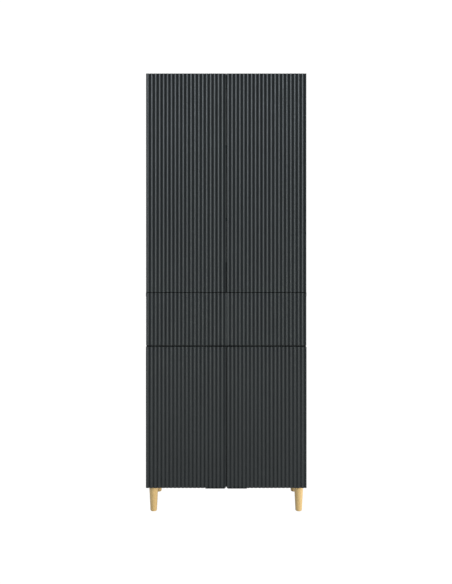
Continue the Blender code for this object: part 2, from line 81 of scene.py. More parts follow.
def moved(part, by=(0.0, 0.0, 0.0), axes=(0, 1, 2), signs=(1, 1, 1)):
    """A shell with its axes swapped, mirrored by signs, and then shifted."""
    points, quads, ends = part
    return points[:, list(axes)] * np.array(signs, float) + np.array(by, float), quads, ends


sample = shell(np.zeros((3, 4, 3)))
print("a grid of 3 rows and 4 columns gives", len(sample[1]), "quads and", len(sample[2]), "caps")


# %% [markdown]
# ## One mesh from several shells
# A hinge cup comes with its screws, and a board with its edge band. Their points and faces go into one mesh
# in one call. Where a shell closes on itself its points lie double, so they are merged, and then every face
# is turned outwards, because a shell mirrored for the other side of the cupboard comes out inside out.

# %% Joining and closing shells
def joined(name, parts):
    """One mesh of several shells, and how many faces each shell gave."""
    starts = np.cumsum([0] + [len(points) for points, _, _ in parts])
    points = np.concatenate([points for points, _, _ in parts])
    faces = []
    counts = []
    for start, (_, quads, ends) in zip(starts, parts):
        faces += (quads + start).tolist() + [(end + start).tolist() for end in ends]
        counts.append(len(quads) + len(ends))
    mesh = bpy.data.meshes.new(name)
    mesh.from_pydata(points.tolist(), [], faces)
    return mesh, counts


def close(mesh):
    """Merges doubled points and turns the faces outwards."""
    shape = bmesh.new()
    shape.from_mesh(mesh)
    bmesh.ops.remove_doubles(shape, verts=shape.verts, dist=WELD)
    bmesh.ops.recalc_face_normals(shape, faces=shape.faces)
    shape.to_mesh(mesh)
    shape.free()


def linked(name, data):
    """An object at the origin, in the scene, that holds a mesh, a lamp or a camera."""
    holder = bpy.data.objects.new(name, data)
    bpy.context.scene.collection.objects.link(holder)
    return holder


print("points closer than", WELD, "m are merged")


# %% [markdown]
# ## A piece on its body
# A finished piece rides on the body of the frame that carries it, holds its own materials, and hides the
# plain node that it stands for. Smooth shading alone would smear the light from a rolled edge over the
# board beside it, so sharp folds are kept and the large flat faces lead the shading.

# %% Making a piece
HARD_EDGE = math.radians(38)  # a sharper fold than this keeps its crisp edge


def soften(piece):
    """Smooth shading that keeps hard edges and lets flat faces stay flat."""
    piece.data.shade_smooth()
    piece.data.set_sharp_from_angle(angle=HARD_EDGE)
    weighting = piece.modifiers.new("flat_faces_lead", "WEIGHTED_NORMAL")
    weighting.keep_sharp = True


def make_piece(name, parts, finishes, body, stands_for=()):
    """One object from one or more shells, all of one finish or each with its own, riding on a body."""
    finishes = finishes if isinstance(finishes, list) else [finishes] * len(parts)
    mesh, counts = joined(name, parts)
    used = list(dict.fromkeys(finishes))
    for material in used:
        mesh.materials.append(material)
    choice = np.array([used.index(material) for material in finishes], np.int32)
    mesh.polygons.foreach_set("material_index", np.repeat(choice, counts))
    close(mesh)
    piece = linked(name, mesh)
    soften(piece)
    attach(piece, body)
    if stands_for:
        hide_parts(*stands_for)
    return piece


print("folds sharper than", round(math.degrees(HARD_EDGE)), "degrees stay crisp")


# %% [markdown]
# ## Outlines
# A sheet bent on a press has a round on every corner, never a point. Each corner of an outline is swapped
# for a short curve that leaves one side and joins the next, its middle pulled towards the corner.

# %% Outlines with rolled corners
def rolled(corners, radius, steps=4):
    """An outline with each corner replaced by a curve.

    The curve starts the radius before the corner and ends the radius after it, and its points are the
    blend (1-t)^2 start + 2t(1-t) corner + t^2 end.
    """
    corners = np.array(corners, float)
    radius = np.broadcast_to(np.asarray(radius, float), len(corners))[:, None]
    back = np.roll(corners, 1, axis=0) - corners
    ahead = np.roll(corners, -1, axis=0) - corners
    start = corners + back / np.linalg.norm(back, axis=1)[:, None] * radius
    end = corners + ahead / np.linalg.norm(ahead, axis=1)[:, None] * radius
    t = np.linspace(0.0, 1.0, steps + 1)[None, :, None]
    curve = (1 - t) ** 2 * start[:, None] + 2 * t * (1 - t) * corners[:, None] + t**2 * end[:, None]
    return curve.reshape(-1, 2)


square = [(0.0, 0.0), (1.0, 0.0), (1.0, 1.0), (0.0, 1.0)]
print("a square with rolled corners has", len(rolled(square, 0.1)), "points")


# %% [markdown]
# ## An outline carried in a line
# A saw leaves a sharp end, and a file breaks it. The outline shrinks a little over its last fraction of a
# millimetre at each end, along a quarter circle, so an end catches a thin line of light like a real one.

# %% Carrying an outline
def inward(outline):
    """The unit direction into the outline at each point, square to the line between its neighbours."""
    ahead = np.roll(outline, -1, axis=0)
    run = ahead - np.roll(outline, 1, axis=0)
    area = np.sum(outline[:, 0] * ahead[:, 1] - outline[:, 1] * ahead[:, 0])
    turn = np.stack([-run[:, 1], run[:, 0]], axis=1) * np.sign(area)
    return turn / np.linalg.norm(turn, axis=1)[:, None]


def carried(outline, start, end, easing, axes=(0, 1, 2), steps=3, stops=()):
    """An outline carried in a straight line from start to end, its ends rolled over.

    At an angle a from 0 to 90 degrees into the easing, the outline has moved easing * (1 - cos a) along
    the line from the end, and is drawn in by easing * (1 - sin a). stops are extra places in between.
    """
    angle = np.linspace(0.0, math.pi / 2, steps + 1)
    drawn_in = easing * (1 - np.sin(angle))
    along = easing * (1 - np.cos(angle))
    inset = np.concatenate([drawn_in, np.zeros(len(stops)), drawn_in[::-1]])
    place = np.concatenate([start + along, stops, end - along[::-1]])
    section = outline[None] + inward(outline)[None] * inset[:, None, None]
    grid = np.empty((len(place), len(outline), 3))
    grid[:, :, axes[0]] = section[:, :, 0]
    grid[:, :, axes[1]] = section[:, :, 1]
    grid[:, :, axes[2]] = place[:, None]
    return shell(grid)


print("a carried square has", len(carried(np.array(square), 0.0, 1.0, 0.01)[1]), "quads")


# %% [markdown]
# ## Boxes with rolled edges
# A box with softened edges is the inner box, smaller by the easing on every side, grown again by a ball
# of that radius. Each ring of the grid is one height of the ball carried round the inner box's corners.

# %% A box with rolled edges
def eased_box(low, high, easing, steps=3):
    """The corner points of a smaller box plus easing * (cos rise cos turn, cos rise sin turn, sin rise)."""
    low = np.array(low, float) + easing
    high = np.array(high, float) - easing
    quarter = np.linspace(0.0, math.pi / 2, steps + 1)
    turn = (quarter[None, :] + np.arange(4)[:, None] * math.pi / 2).ravel()
    corner_x = np.repeat([high[0], low[0], low[0], high[0]], steps + 1)
    corner_y = np.repeat([high[1], high[1], low[1], low[1]], steps + 1)
    rise = np.concatenate([quarter - math.pi / 2, quarter])
    corner_z = np.repeat([low[2], high[2]], steps + 1)
    grid = np.empty((len(rise), len(turn), 3))
    grid[:, :, 0] = corner_x + easing * np.cos(rise)[:, None] * np.cos(turn)
    grid[:, :, 1] = corner_y + easing * np.cos(rise)[:, None] * np.sin(turn)
    grid[:, :, 2] = (corner_z + easing * np.sin(rise))[:, None]
    return shell(grid)


print("a box with rolled edges has", len(eased_box((0, 0, 0), (1, 1, 1), 0.1)[1]), "quads")


# %% [markdown]
# ## Turned shapes
# Legs, screws, pins, nails and buffers come off a lathe. A profile of distances from the axis and heights is
# spun round Z, and moved() lays the axis along X or Y where a piece lies down.

# %% A turned shape
def turned(profile, segments):
    """A profile of (radius, height) points spun round the Z axis, as on a lathe."""
    profile = np.array(profile, float)
    angle = np.linspace(0.0, ROUND, segments, endpoint=False)
    grid = np.empty((len(profile), segments, 3))
    grid[:, :, 0] = profile[:, :1] * np.cos(angle)
    grid[:, :, 1] = profile[:, :1] * np.sin(angle)
    grid[:, :, 2] = profile[:, 1:]
    pointed = min(profile[0, 0], profile[-1, 0]) < WELD
    return shell(grid, caps=not pointed)


print("a turned cone has", len(turned([(0.0, 1.0), (1.0, 0.0), (0.0, 0.0)], 12)[1]), "quads")


# %% [markdown]
# ## Places from the frame
# Every piece is laid out between the lowest and highest corners of the frame node that it stands for. Left
# and right pieces are mirror images, so most loops run over the two sides with a sign.

# %% Corners and sides


def corners_of(node):
    """A frame node's lowest and highest corners as arrays."""
    low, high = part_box(node)
    return np.array(low), np.array(high)


SIDES = (("left", -1), ("right", 1))
print("a tall door measures", np.round(np.subtract(*corners_of("upper_door_left")[::-1]), 4))


# %% [markdown]
# ## Effects that several finishes share
# Foil, board, coated steel and wood are never one even colour: they carry slow drifts of tone, a fine
# relief that breaks up the shine, a paler rub along edges, and dust that settles in hollows. Each effect
# is a node group, built once and placed in each finish with its own values. A group gives only colours,
# masks and heights; the shader itself stays in the finish.

# %% Node helpers
def node(tree, kind, links=None, **settings):
    """A node with its settings, its inputs given as values or as sockets to link from."""
    made = tree.nodes.new(kind)
    for key, value in settings.items():
        setattr(made, key, value)
    for key, value in (links or {}).items():
        if isinstance(value, bpy.types.NodeSocket):
            tree.links.new(value, made.inputs[key])
        else:
            made.inputs[key].default_value = value
    return made


def maths(tree, operation, first, second):
    """The result of a Math node."""
    return node(tree, "ShaderNodeMath", {0: first, 1: second}, operation=operation).outputs[0]


def spread(tree, value, low, high, to_low, to_high, smooth=False):
    """A value's range stretched onto another, clamped at both ends."""
    ranges = {"Value": value, "From Min": low, "From Max": high, "To Min": to_low, "To Max": to_high}
    kind = "SMOOTHSTEP" if smooth else "LINEAR"
    return node(tree, "ShaderNodeMapRange", ranges, interpolation_type=kind).outputs["Result"]


def blended(tree, factor, first, second, mode="MIX"):
    """The colour result of a Mix node."""
    made = node(tree, "ShaderNodeMix", {"Factor": factor}, data_type="RGBA", blend_type=mode)
    for place, value in ((6, first), (7, second)):
        if isinstance(value, bpy.types.NodeSocket):
            tree.links.new(value, made.inputs[place])
        else:
            made.inputs[place].default_value = (*value, 1.0)
    return made.outputs[2]


print("a finish's tree is written with node(), maths(), spread() and blended()")


# %% [markdown]
# ## Effects as node groups
# A group is a small tree with named sockets. It is built once, and a finish that uses it gives its own
# values. Changing the group changes every finish, which keeps foil, board and wood in one family.

# %% Building and placing an effect
def effect(name, takes, gives):
    """An empty shader node group with named sockets, and its input and output nodes."""
    group = bpy.data.node_groups.new(name, "ShaderNodeTree")
    for socket, kind, start in takes:
        made = group.interface.new_socket(socket, in_out="INPUT", socket_type=kind)
        made.default_value = start
    for socket, kind in gives:
        group.interface.new_socket(socket, in_out="OUTPUT", socket_type=kind)
    return group, group.nodes.new("NodeGroupInput").outputs, group.nodes.new("NodeGroupOutput").inputs


FLOAT = "NodeSocketFloat"
COLOUR = "NodeSocketColor"
VECTOR = "NodeSocketVector"
GREY = (0.5, 0.5, 0.5, 1.0)


def placed(tree, group, links):
    """The outputs of one use of an effect in a finish."""
    return node(tree, "ShaderNodeGroup", links, node_tree=group).outputs


print("an effect's sockets carry", ", ".join(kind[10:].lower() for kind in (FLOAT, COLOUR, VECTOR)), "values")


# %% [markdown]
# ## Tone drift
# No sheet of foil or board is printed quite evenly. One noise makes patches the size of a hand and another
# makes a fine mottle of a few millimetres, and together they lift and lower the brightness a little.

# %% Slow and fine changes of brightness
PATCHES = 5.0
MOTTLE = 260.0


def make_tone_drift():
    """Colour times 1 + amount * (two noises, one as large as a hand and one a few millimetres)."""
    takes = (("Colour", COLOUR, GREY), ("Vector", VECTOR, (0.0, 0.0, 0.0)), ("Amount", FLOAT, 0.1))
    group, given, result = effect("tone_drift", takes, (("Colour", COLOUR), ("Patch", FLOAT)))
    broad = node(group, "ShaderNodeTexNoise", {"Vector": given["Vector"], "Scale": PATCHES, "Detail": 3.0})
    fine = node(group, "ShaderNodeTexNoise", {"Vector": given["Vector"], "Scale": MOTTLE, "Detail": 2.0})
    both = maths(group, "ADD", broad.outputs["Fac"], maths(group, "MULTIPLY", fine.outputs["Fac"], 0.5))
    shift = maths(group, "MULTIPLY", maths(group, "SUBTRACT", both, 0.75), given["Amount"])
    gain = maths(group, "ADD", maths(group, "MULTIPLY", shift, 2.0), 1.0)
    scaled = node(group, "ShaderNodeVectorMath", {0: given["Colour"], "Scale": gain}, operation="SCALE")
    group.links.new(scaled.outputs["Vector"], result["Colour"])
    group.links.new(broad.outputs["Fac"], result["Patch"])
    return group


TONE_DRIFT = make_tone_drift()
print("effect:", TONE_DRIFT.name)


# %% [markdown]
# ## Fine relief
# The tooth of a foil or a coat is a relief of hundredths of a millimetre. It is too small to see as a shape,
# but it breaks a highlight into a satin glow. Handling also leaves clouds of more and less shine.

# %% The tooth of a foil or a coat
def make_fine_relief():
    """Height from a noise of the given size, and a roughness that wanders with a much broader noise."""
    takes = (("Vector", VECTOR, (0.0, 0.0, 0.0)), ("Size", FLOAT, 0.001), ("Roughness", FLOAT, 0.5))
    takes += (("Change", FLOAT, 0.05),)
    group, given, result = effect("fine_relief", takes, (("Height", FLOAT), ("Roughness", FLOAT)))
    scale = maths(group, "DIVIDE", 1.0, given["Size"])
    tooth = node(group, "ShaderNodeTexNoise", {"Vector": given["Vector"], "Scale": scale, "Detail": 3.0})
    cloud = node(group, "ShaderNodeTexNoise", {"Vector": given["Vector"], "Scale": 18.0, "Detail": 4.0})
    offset = maths(group, "MULTIPLY", maths(group, "SUBTRACT", cloud.outputs["Fac"], 0.5), 2.0)
    change = maths(group, "MULTIPLY", offset, given["Change"])
    group.links.new(tooth.outputs["Fac"], result["Height"])
    group.links.new(maths(group, "ADD", given["Roughness"], change), result["Roughness"])
    return group


FINE_RELIEF = make_fine_relief()
print("effect:", FINE_RELIEF.name)


# %% [markdown]
# ## Edge rub
# Edges wear first: hands and cloths rub the colour thin there. A Bevel node gives the normal that a rounder
# edge would have, and where it leans away from the true one there is an edge. A noise breaks up the line,
# because wear is never even.

# %% A mask on worn edges
def make_edge_rub():
    """How far a rounded copy of the normal leans from the true one, broken up by a noise."""
    takes = (("Vector", VECTOR, (0.0, 0.0, 0.0)), ("Width", FLOAT, 0.0012), ("Amount", FLOAT, 0.5))
    group, given, result = effect("edge_rub", takes, (("Mask", FLOAT),))
    rounded = node(group, "ShaderNodeBevel", {"Radius": given["Width"]}, samples=4)
    true = node(group, "ShaderNodeNewGeometry").outputs["Normal"]
    ends = {0: rounded.outputs["Normal"], 1: true}
    agreement = node(group, "ShaderNodeVectorMath", ends, operation="DOT_PRODUCT").outputs["Value"]
    edge = spread(group, agreement, 0.995, 0.80, 0.0, 1.0)
    patches = node(group, "ShaderNodeTexNoise", {"Vector": given["Vector"], "Scale": 45.0, "Detail": 5.0})
    broken = spread(group, patches.outputs["Fac"], 0.40, 0.66, 0.15, 1.0)
    mask = maths(group, "MULTIPLY", maths(group, "MULTIPLY", edge, broken), given["Amount"])
    group.links.new(mask, result["Mask"])
    return group


EDGE_RUB = make_edge_rub()
print("effect:", EDGE_RUB.name)


# %% [markdown]
# ## Brushing
# Rolled steel has long fine scratches along the way it was rolled, and wood has fibres along the tree. Both
# are a noise whose coordinates are stretched much more across that direction than along it.

# %% Long fine lines along one direction
def make_brushing():
    """A noise squeezed across the brushing direction by Stretch, as a height and as a mask."""
    takes = (("Vector", VECTOR, (0.0, 0.0, 0.0)), ("Stretch", VECTOR, (1.0, 1.0, 1.0)))
    group, given, result = effect("brushing", takes, (("Height", FLOAT), ("Mask", FLOAT)))
    ends = {0: given["Vector"], 1: given["Stretch"]}
    drawn = node(group, "ShaderNodeVectorMath", ends, operation="MULTIPLY").outputs["Vector"]
    lines = node(group, "ShaderNodeTexNoise", {"Vector": drawn, "Scale": 1.0, "Detail": 5.0})
    group.links.new(lines.outputs["Fac"], result["Height"])
    group.links.new(spread(group, lines.outputs["Fac"], 0.35, 0.65, 0.0, 1.0), result["Mask"])
    return group


BRUSHING = make_brushing()
print("all shared effects:", ", ".join(group.name for group in bpy.data.node_groups))


# %% [markdown]
# ## The common build of a finish
# Most finishes here differ only in their values: a colour that drifts, a tooth, rubbed edges. One function
# lays that out, and returns the tree, so that wood, reeded foil and linen foil can add what is their own.

# %% A finish with drift, relief and rubbed edges
SHINE_CLOUDS = 0.18  # how far the shine wanders, as a share of the roughness


def finish(name, colour, roughness, tooth, depth, drift=0.08, rub=0.4, rub_colour=None, **constant):
    """A Principled material. constant holds values that are the same all over its surface."""
    material = bpy.data.materials.new(name)
    material.use_nodes = True
    tree = material.node_tree
    shader = tree.nodes["Principled BSDF"]
    for key, value in constant.items():
        shader.inputs[key.replace("_", " ")].default_value = value
    place = node(tree, "ShaderNodeTexCoord").outputs["Object"]
    tone = placed(tree, TONE_DRIFT, {"Colour": (*colour, 1.0), "Vector": place, "Amount": drift})
    links = {"Vector": place, "Size": tooth, "Roughness": roughness, "Change": roughness * SHINE_CLOUDS}
    relief = placed(tree, FINE_RELIEF, links)
    worn = placed(tree, EDGE_RUB, {"Vector": place, "Amount": rub})["Mask"]
    pale = rub_colour or tuple(min(1.0, c * 1.7 + 0.01) for c in colour)
    mixed = blended(tree, worn, tone["Colour"], pale)
    bump = node(tree, "ShaderNodeBump", {"Height": relief["Height"], "Distance": depth, "Strength": 1.0})
    tree.links.new(mixed, shader.inputs["Base Color"])
    tree.links.new(relief["Roughness"], shader.inputs["Roughness"])
    tree.links.new(bump.outputs["Normal"], shader.inputs["Normal"])
    material.diffuse_color = (*colour, 1.0)
    return material, tree, shader, place


def coat(*values, **constant):
    """A finish that needs nothing more than its values."""
    return finish(*values, **constant)[0]


print("shine wanders by", SHINE_CLOUDS, "of the roughness")


# %% [markdown]
# ## Reeded foil
# The fronts are fibreboard milled into reeds and wrapped in a thermofoil: nearly black with a little green
# and blue, satin, with a faint orange peel from the board under it. Dust stays in the bottom of the
# grooves, where a cloth doesn't reach, and hands polish the crests. Both follow the depth behind the crest,
# which is the Y coordinate, so one mask serves all five fronts.

# %% The foil on the fronts
REED_PITCH = 0.0196
REED_DEPTH = 0.0045
CREST_Y = corners_of("upper_door_left")[0][1]
FRONT_BACK_Y = corners_of("upper_door_left")[1][1]
FOIL = (0.0135, 0.0163, 0.0171)
DUST = (0.16, 0.155, 0.145)


def make_reeded_foil():
    """The common build, with dust by depth in the grooves and a little more polish on the crests."""
    material, tree, shader, place = finish(
        "reeded_foil", FOIL, roughness=0.42, tooth=0.0015, depth=0.00003, drift=0.20, rub=0.25
    )
    y = node(tree, "ShaderNodeSeparateXYZ", {"Vector": place}).outputs["Y"]
    groove = spread(tree, y, CREST_Y + 0.55 * REED_DEPTH, CREST_Y + REED_DEPTH, 0.0, 1.0, smooth=True)
    specks = node(tree, "ShaderNodeTexNoise", {"Vector": place, "Scale": 420.0, "Detail": 4.0})
    settled = spread(tree, specks.outputs["Fac"], 0.40, 0.80, 0.0, 0.05)
    dust = maths(tree, "MULTIPLY", groove, settled)
    rubbed = next(item for item in tree.nodes if getattr(item, "node_tree", None) == EDGE_RUB)
    tree.links.new(spread(tree, groove, 0.0, 0.2, 0.25, 0.0), rubbed.inputs["Amount"])
    clean = shader.inputs["Base Color"].links[0].from_socket
    tree.links.new(blended(tree, dust, clean, DUST), shader.inputs["Base Color"])
    even = shader.inputs["Roughness"].links[0].from_socket
    crest = spread(tree, y, CREST_Y, CREST_Y + 0.3 * REED_DEPTH, -0.02, 0.0)
    tree.links.new(maths(tree, "ADD", even, crest), shader.inputs["Roughness"])
    return material


REEDED_FOIL = make_reeded_foil()
print("fronts: foil", FOIL, "crests at y =", round(float(CREST_Y), 4))


# %% [markdown]
# ## Boards, edge bands and backs
# The carcass is particle board faced with an anthracite melamine that has a soft pearl tooth. Its cut edges
# are covered with a matt strip whose near-black colour is painted shade: it stands in for the shadow in the
# gaps between the fronts, so that they read as dark lines.

# %% Board finishes
BOARD_LAMINATE = coat(
    "board_laminate", (0.018, 0.021, 0.022), 0.48, 0.0007, 0.00009, drift=0.15, rub=0.7,
    rub_colour=(0.07, 0.075, 0.075),
)
# Painted shade: the band is near black to stand in for the shadow in the gaps between the fronts.
EDGE_BAND_PAINTED_SHADE = coat(
    "edge_band", (0.0070, 0.0080, 0.0082), 0.56, 0.0012, 0.00004, drift=0.2, rub=0.5,
    Specular_IOR_Level=0.3,
)
print("boards:", BOARD_LAMINATE.name, "and", EDGE_BAND_PAINTED_SHADE.name)


# %% [markdown]
# ## Hardboard backs
# A back is one thin sheet with two faces: lacquered pale towards the inside, raw brown fibre towards the
# wall. The side of the sheet's middle that a point lies on, which is its Y coordinate, decides the face.

# %% Hardboard
FIBRE_DARK = (0.13, 0.075, 0.038)
FIBRE_LIGHT = (0.30, 0.19, 0.105)
FIBRE_STAIN = (0.20, 0.13, 0.08)


def make_hardboard(name, halfway_y):
    """Pale lacquer in front of halfway_y and raw fibre behind it."""
    material, tree, shader, place = finish(name, (0.66, 0.66, 0.64), 0.48, 0.0012, 0.00002, rub=0.1)
    y = node(tree, "ShaderNodeSeparateXYZ", {"Vector": place}).outputs["Y"]
    outside = spread(tree, y, halfway_y - 0.0001, halfway_y + 0.0001, 0.0, 1.0)
    fibre = node(tree, "ShaderNodeTexNoise", {"Vector": place, "Scale": 700.0, "Detail": 6.0})
    cloud = node(tree, "ShaderNodeTexNoise", {"Vector": place, "Scale": 14.0, "Detail": 5.0})
    raw = blended(tree, fibre.outputs["Fac"], FIBRE_DARK, FIBRE_LIGHT)
    raw = blended(tree, spread(tree, cloud.outputs["Fac"], 0.3, 0.7, 0.0, 0.35), raw, FIBRE_STAIN)
    lacquer = shader.inputs["Base Color"].links[0].from_socket
    tree.links.new(blended(tree, outside, lacquer, raw), shader.inputs["Base Color"])
    smooth = shader.inputs["Roughness"].links[0].from_socket
    dull = maths(tree, "MULTIPLY", outside, 0.30)
    tree.links.new(maths(tree, "ADD", smooth, dull), shader.inputs["Roughness"])
    return material


HARDBOARD = make_hardboard("hardboard", sum(corners_of("upper_back"))[1] / 2)
print("backs:", HARDBOARD.name)


# %% [markdown]
# ## Linen foil of the drawer box
# Drawer boxes are wrapped in a grey foil printed and embossed like linen: two crossed sets of threads, each
# a fine sine wave made uneven by noise. The same height drives the relief and a slight change of tone.

# %% The drawer box's foil
THREADS = 420.0


def make_linen_foil():
    """Height = 1/2 + (sin of the threads across + sin of the threads up) / 4, wandering with a noise."""
    material, tree, shader, place = finish("linen_foil", (0.30, 0.31, 0.31), 0.52, 0.0010, 0.00003)
    wander = node(tree, "ShaderNodeTexNoise", {"Vector": place, "Scale": 160.0, "Detail": 2.0})
    parts = node(tree, "ShaderNodeSeparateXYZ", {"Vector": place}).outputs
    across = maths(tree, "ADD", parts["X"], parts["Y"])
    shift = maths(tree, "MULTIPLY", wander.outputs["Fac"], 2.5)
    threads = []
    for direction in (across, parts["Z"]):
        phase = maths(tree, "ADD", maths(tree, "MULTIPLY", direction, THREADS * ROUND), shift)
        threads.append(node(tree, "ShaderNodeMath", {0: phase}, operation="SINE").outputs[0])
    cloth = maths(tree, "MULTIPLY", maths(tree, "ADD", threads[0], threads[1]), 0.25)
    height = maths(tree, "ADD", cloth, 0.5)
    plain = shader.inputs["Base Color"].links[0].from_socket
    faint = maths(tree, "MULTIPLY", height, 0.30)
    tree.links.new(blended(tree, faint, plain, (0.22, 0.23, 0.23)), shader.inputs["Base Color"])
    bump = shader.inputs["Normal"].links[0].from_node
    tree.links.new(height, bump.inputs["Height"])
    return material


LINEN_FOIL = make_linen_foil()
print("drawer box:", LINEN_FOIL.name, "with", THREADS, "threads in a metre")


# %% [markdown]
# ## Beech under clear lacquer
# The legs are turned from beech. Beech is pale and warm, with growth layers that show as long soft figures
# on a taper and with short dark flecks along the grain. The layers are rings round an axis that leans and
# lies off the leg, bent by noise, so each of the four legs cuts through them somewhere else. The flecks are
# small cells stretched along Z. Clear lacquer over it is a thin coat, put on evenly.

# %% Turned beech
EARLY_WOOD = (0.585, 0.395, 0.162)
LATE_WOOD = (0.515, 0.318, 0.115)
FLECK = (0.40, 0.22, 0.080)
RUBBED_WOOD = (0.80, 0.60, 0.34)
RINGS = 330.0  # growth rings in a metre


def make_beech():
    """Rings are the fraction of (distance from a leaning axis + noise) * RINGS; flecks are long cells."""
    material, tree, shader, place = finish(
        "beech_lacquer", EARLY_WOOD, 0.42, 0.0008, 0.00002, drift=0.10, rub=0.2,
        rub_colour=RUBBED_WOOD, Coat_Weight=0.35, Coat_Roughness=0.22,
    )
    spin = {"Vector": place, "Location": (0.35, 0.21, 0.0), "Rotation": (0.10, 0.06, 0.0)}
    leaning = node(tree, "ShaderNodeMapping", spin).outputs["Vector"]
    bend = node(tree, "ShaderNodeTexNoise", {"Vector": leaning, "Scale": 7.0, "Detail": 2.0})
    parts = node(tree, "ShaderNodeSeparateXYZ", {"Vector": leaning}).outputs
    squares = [maths(tree, "MULTIPLY", parts[axis], parts[axis]) for axis in "XY"]
    radius = node(tree, "ShaderNodeMath", {0: maths(tree, "ADD", *squares)}, operation="SQRT").outputs[0]
    bent = maths(tree, "ADD", radius, maths(tree, "MULTIPLY", bend.outputs["Fac"], 0.012))
    layers = maths(tree, "MULTIPLY", bent, RINGS)
    ring = node(tree, "ShaderNodeMath", {0: layers}, operation="FRACT").outputs[0]
    late = spread(tree, ring, 0.45, 1.0, 0.0, 0.55, smooth=True)
    early = shader.inputs["Base Color"].links[0].from_socket
    figured = blended(tree, late, early, LATE_WOOD)
    drawn = node(tree, "ShaderNodeMapping", {"Vector": place, "Scale": (1100.0, 1100.0, 190.0)})
    cells = node(tree, "ShaderNodeTexVoronoi", {"Vector": drawn.outputs["Vector"], "Scale": 1.0})
    fleck = spread(tree, cells.outputs["Distance"], 0.12, 0.26, 0.45, 0.0)
    flecked = blended(tree, fleck, figured, FLECK)
    tree.links.new(flecked, shader.inputs["Base Color"])
    strands = {"Vector": place, "Stretch": (900.0, 900.0, 22.0)}
    fibre = placed(tree, BRUSHING, strands)["Height"]
    pores = maths(tree, "SUBTRACT", fibre, maths(tree, "MULTIPLY", fleck, 0.6))
    bump = shader.inputs["Normal"].links[0].from_node
    tree.links.new(pores, bump.inputs["Height"])
    return material


BEECH = make_beech()
print("legs:", BEECH.name, "with", RINGS, "rings in a metre")


# %% [markdown]
# ## Metal fittings
# Hinges are nickel plated and runners zinc plated, both brushed along their length by the rolling mill. The
# scratches change the shine along with the relief, so a highlight on metal has soft streaks.

# %% Nickel and zinc
def make_metal(name, colour, roughness, stretch, scratch):
    """Bare metal with brushing along one axis: the mask varies its roughness, the height its relief."""
    material, tree, shader, place = finish(
        name, colour, roughness, 0.004, 0.000008, drift=0.05, rub=0.5, Metallic=1.0
    )
    brushed = placed(tree, BRUSHING, {"Vector": place, "Stretch": stretch})
    even = shader.inputs["Roughness"].links[0].from_socket
    change = spread(tree, brushed["Mask"], 0.0, 1.0, -scratch, scratch)
    tree.links.new(maths(tree, "ADD", even, change), shader.inputs["Roughness"])
    bump = shader.inputs["Normal"].links[0].from_node
    tree.links.new(brushed["Height"], bump.inputs["Height"])
    return material


NICKEL = make_metal("nickel_plate", (0.66, 0.65, 0.62), 0.26, (900.0, 40.0, 900.0), 0.06)
ZINC = make_metal("zinc_plate", (0.60, 0.61, 0.63), 0.34, (700.0, 12.0, 700.0), 0.08)
SCREW_ZINC = make_metal("bright_zinc_screw", (0.72, 0.71, 0.68), 0.24, (500.0, 500.0, 500.0), 0.04)
print("metals:", NICKEL.name, ZINC.name, SCREW_ZINC.name)


# %% [markdown]
# ## Coats, rubber and plastic
# The pulls carry a matt black powder coat, whose grains give a coarser tooth than foil. The seal between
# them is dull rubber coloured near black as painted shade, for the shadow in the gap behind the pulls. The
# covers are moulded plastic, and the buffers that quieten the doors are clear silicone. These need only the
# common build.

# %% The other fittings' finishes
PULL_COAT = coat(
    "pull_powder_coat", (0.0070, 0.0078, 0.0080), 0.54, 0.0006, 0.00009, drift=0.2, rub=0.4,
    Specular_IOR_Level=0.22,
)
# Painted shade: the seal is near black to stand in for the shadow in the gap behind the upright pulls.
SEAL_PAINTED_SHADE = coat(
    "seal_painted_shade", (0.0036, 0.0036, 0.0038), 0.74, 0.0006, 0.00005, rub=0.1, Specular_IOR_Level=0.12
)
DARK_PLASTIC = coat("dark_moulded_plastic", (0.022, 0.024, 0.025), 0.46, 0.0004, 0.00002)
SILICONE = coat(
    "clear_silicone", (0.80, 0.81, 0.80), 0.30, 0.0020, 0.00001, drift=0.03, rub=0.0,
    Transmission_Weight=0.6,
)
print("finishes:", ", ".join(material.name for material in bpy.data.materials if material.users == 0))


# %% [markdown]
# ## Reeded fronts
# A reed is an arc of a circle. With the pitch p between grooves and the depth d of a groove, its radius is
# (p^2 / 4 + d^2) / 2d, and equal steps of angle along the arc keep its shading even. Each door starts just
# past a groove at its left edge, whichever side it hangs on, and its last reed is cut where the door ends.

# %% The reeded line
REED_STEPS = 18
REED_RADIUS = (REED_PITCH**2 / 4 + REED_DEPTH**2) / (2 * REED_DEPTH)
REED_HALF_ANGLE = math.asin(REED_PITCH / 2 / REED_RADIUS)
SLIVER = 0.0002  # no point of the reeded line comes closer than this to an edge
REED_LEAD = 0.0013  # how much of the first reed the left edge has cut off


def reeds(start, end):
    """Plan points from start to end: x = (k + 1/2) pitch + radius sin a - lead, y = radius (1 - cos a)."""
    count = math.ceil((end - start + REED_LEAD) / REED_PITCH)
    angle = np.linspace(-REED_HALF_ANGLE, REED_HALF_ANGLE, REED_STEPS, endpoint=False)
    x = ((np.arange(count)[:, None] + 0.5) * REED_PITCH + REED_RADIUS * np.sin(angle)[None, :]).ravel()
    x = x - REED_LEAD
    inside = x[(x > SLIVER) & (x < end - start - SLIVER)]
    x = np.concatenate([[0.0], inside, [end - start]])
    offset = (x + REED_LEAD) % REED_PITCH - REED_PITCH / 2
    hollow = REED_RADIUS - np.sqrt(REED_RADIUS**2 - offset**2)
    return np.stack([start + x, CREST_Y + hollow], axis=1)


print("a reed's arc: radius", round(REED_RADIUS, 5), "half angle", round(math.degrees(REED_HALF_ANGLE), 1))


# %% [markdown]
# ## The plan of a front
# Foil is drawn tight round a board, so the milled board is given small rounds first: a quarter round where
# the reeded face turns into a side edge, and a smaller roll at the back's two corners. The foil's free edge
# ends on the flat back.

# %% A front's closed outline
FRONT_EASING = 0.0006  # the roll of a front's top and bottom ends
BACK_ROLL = 0.0010
EDGE_ROLL = 0.0013


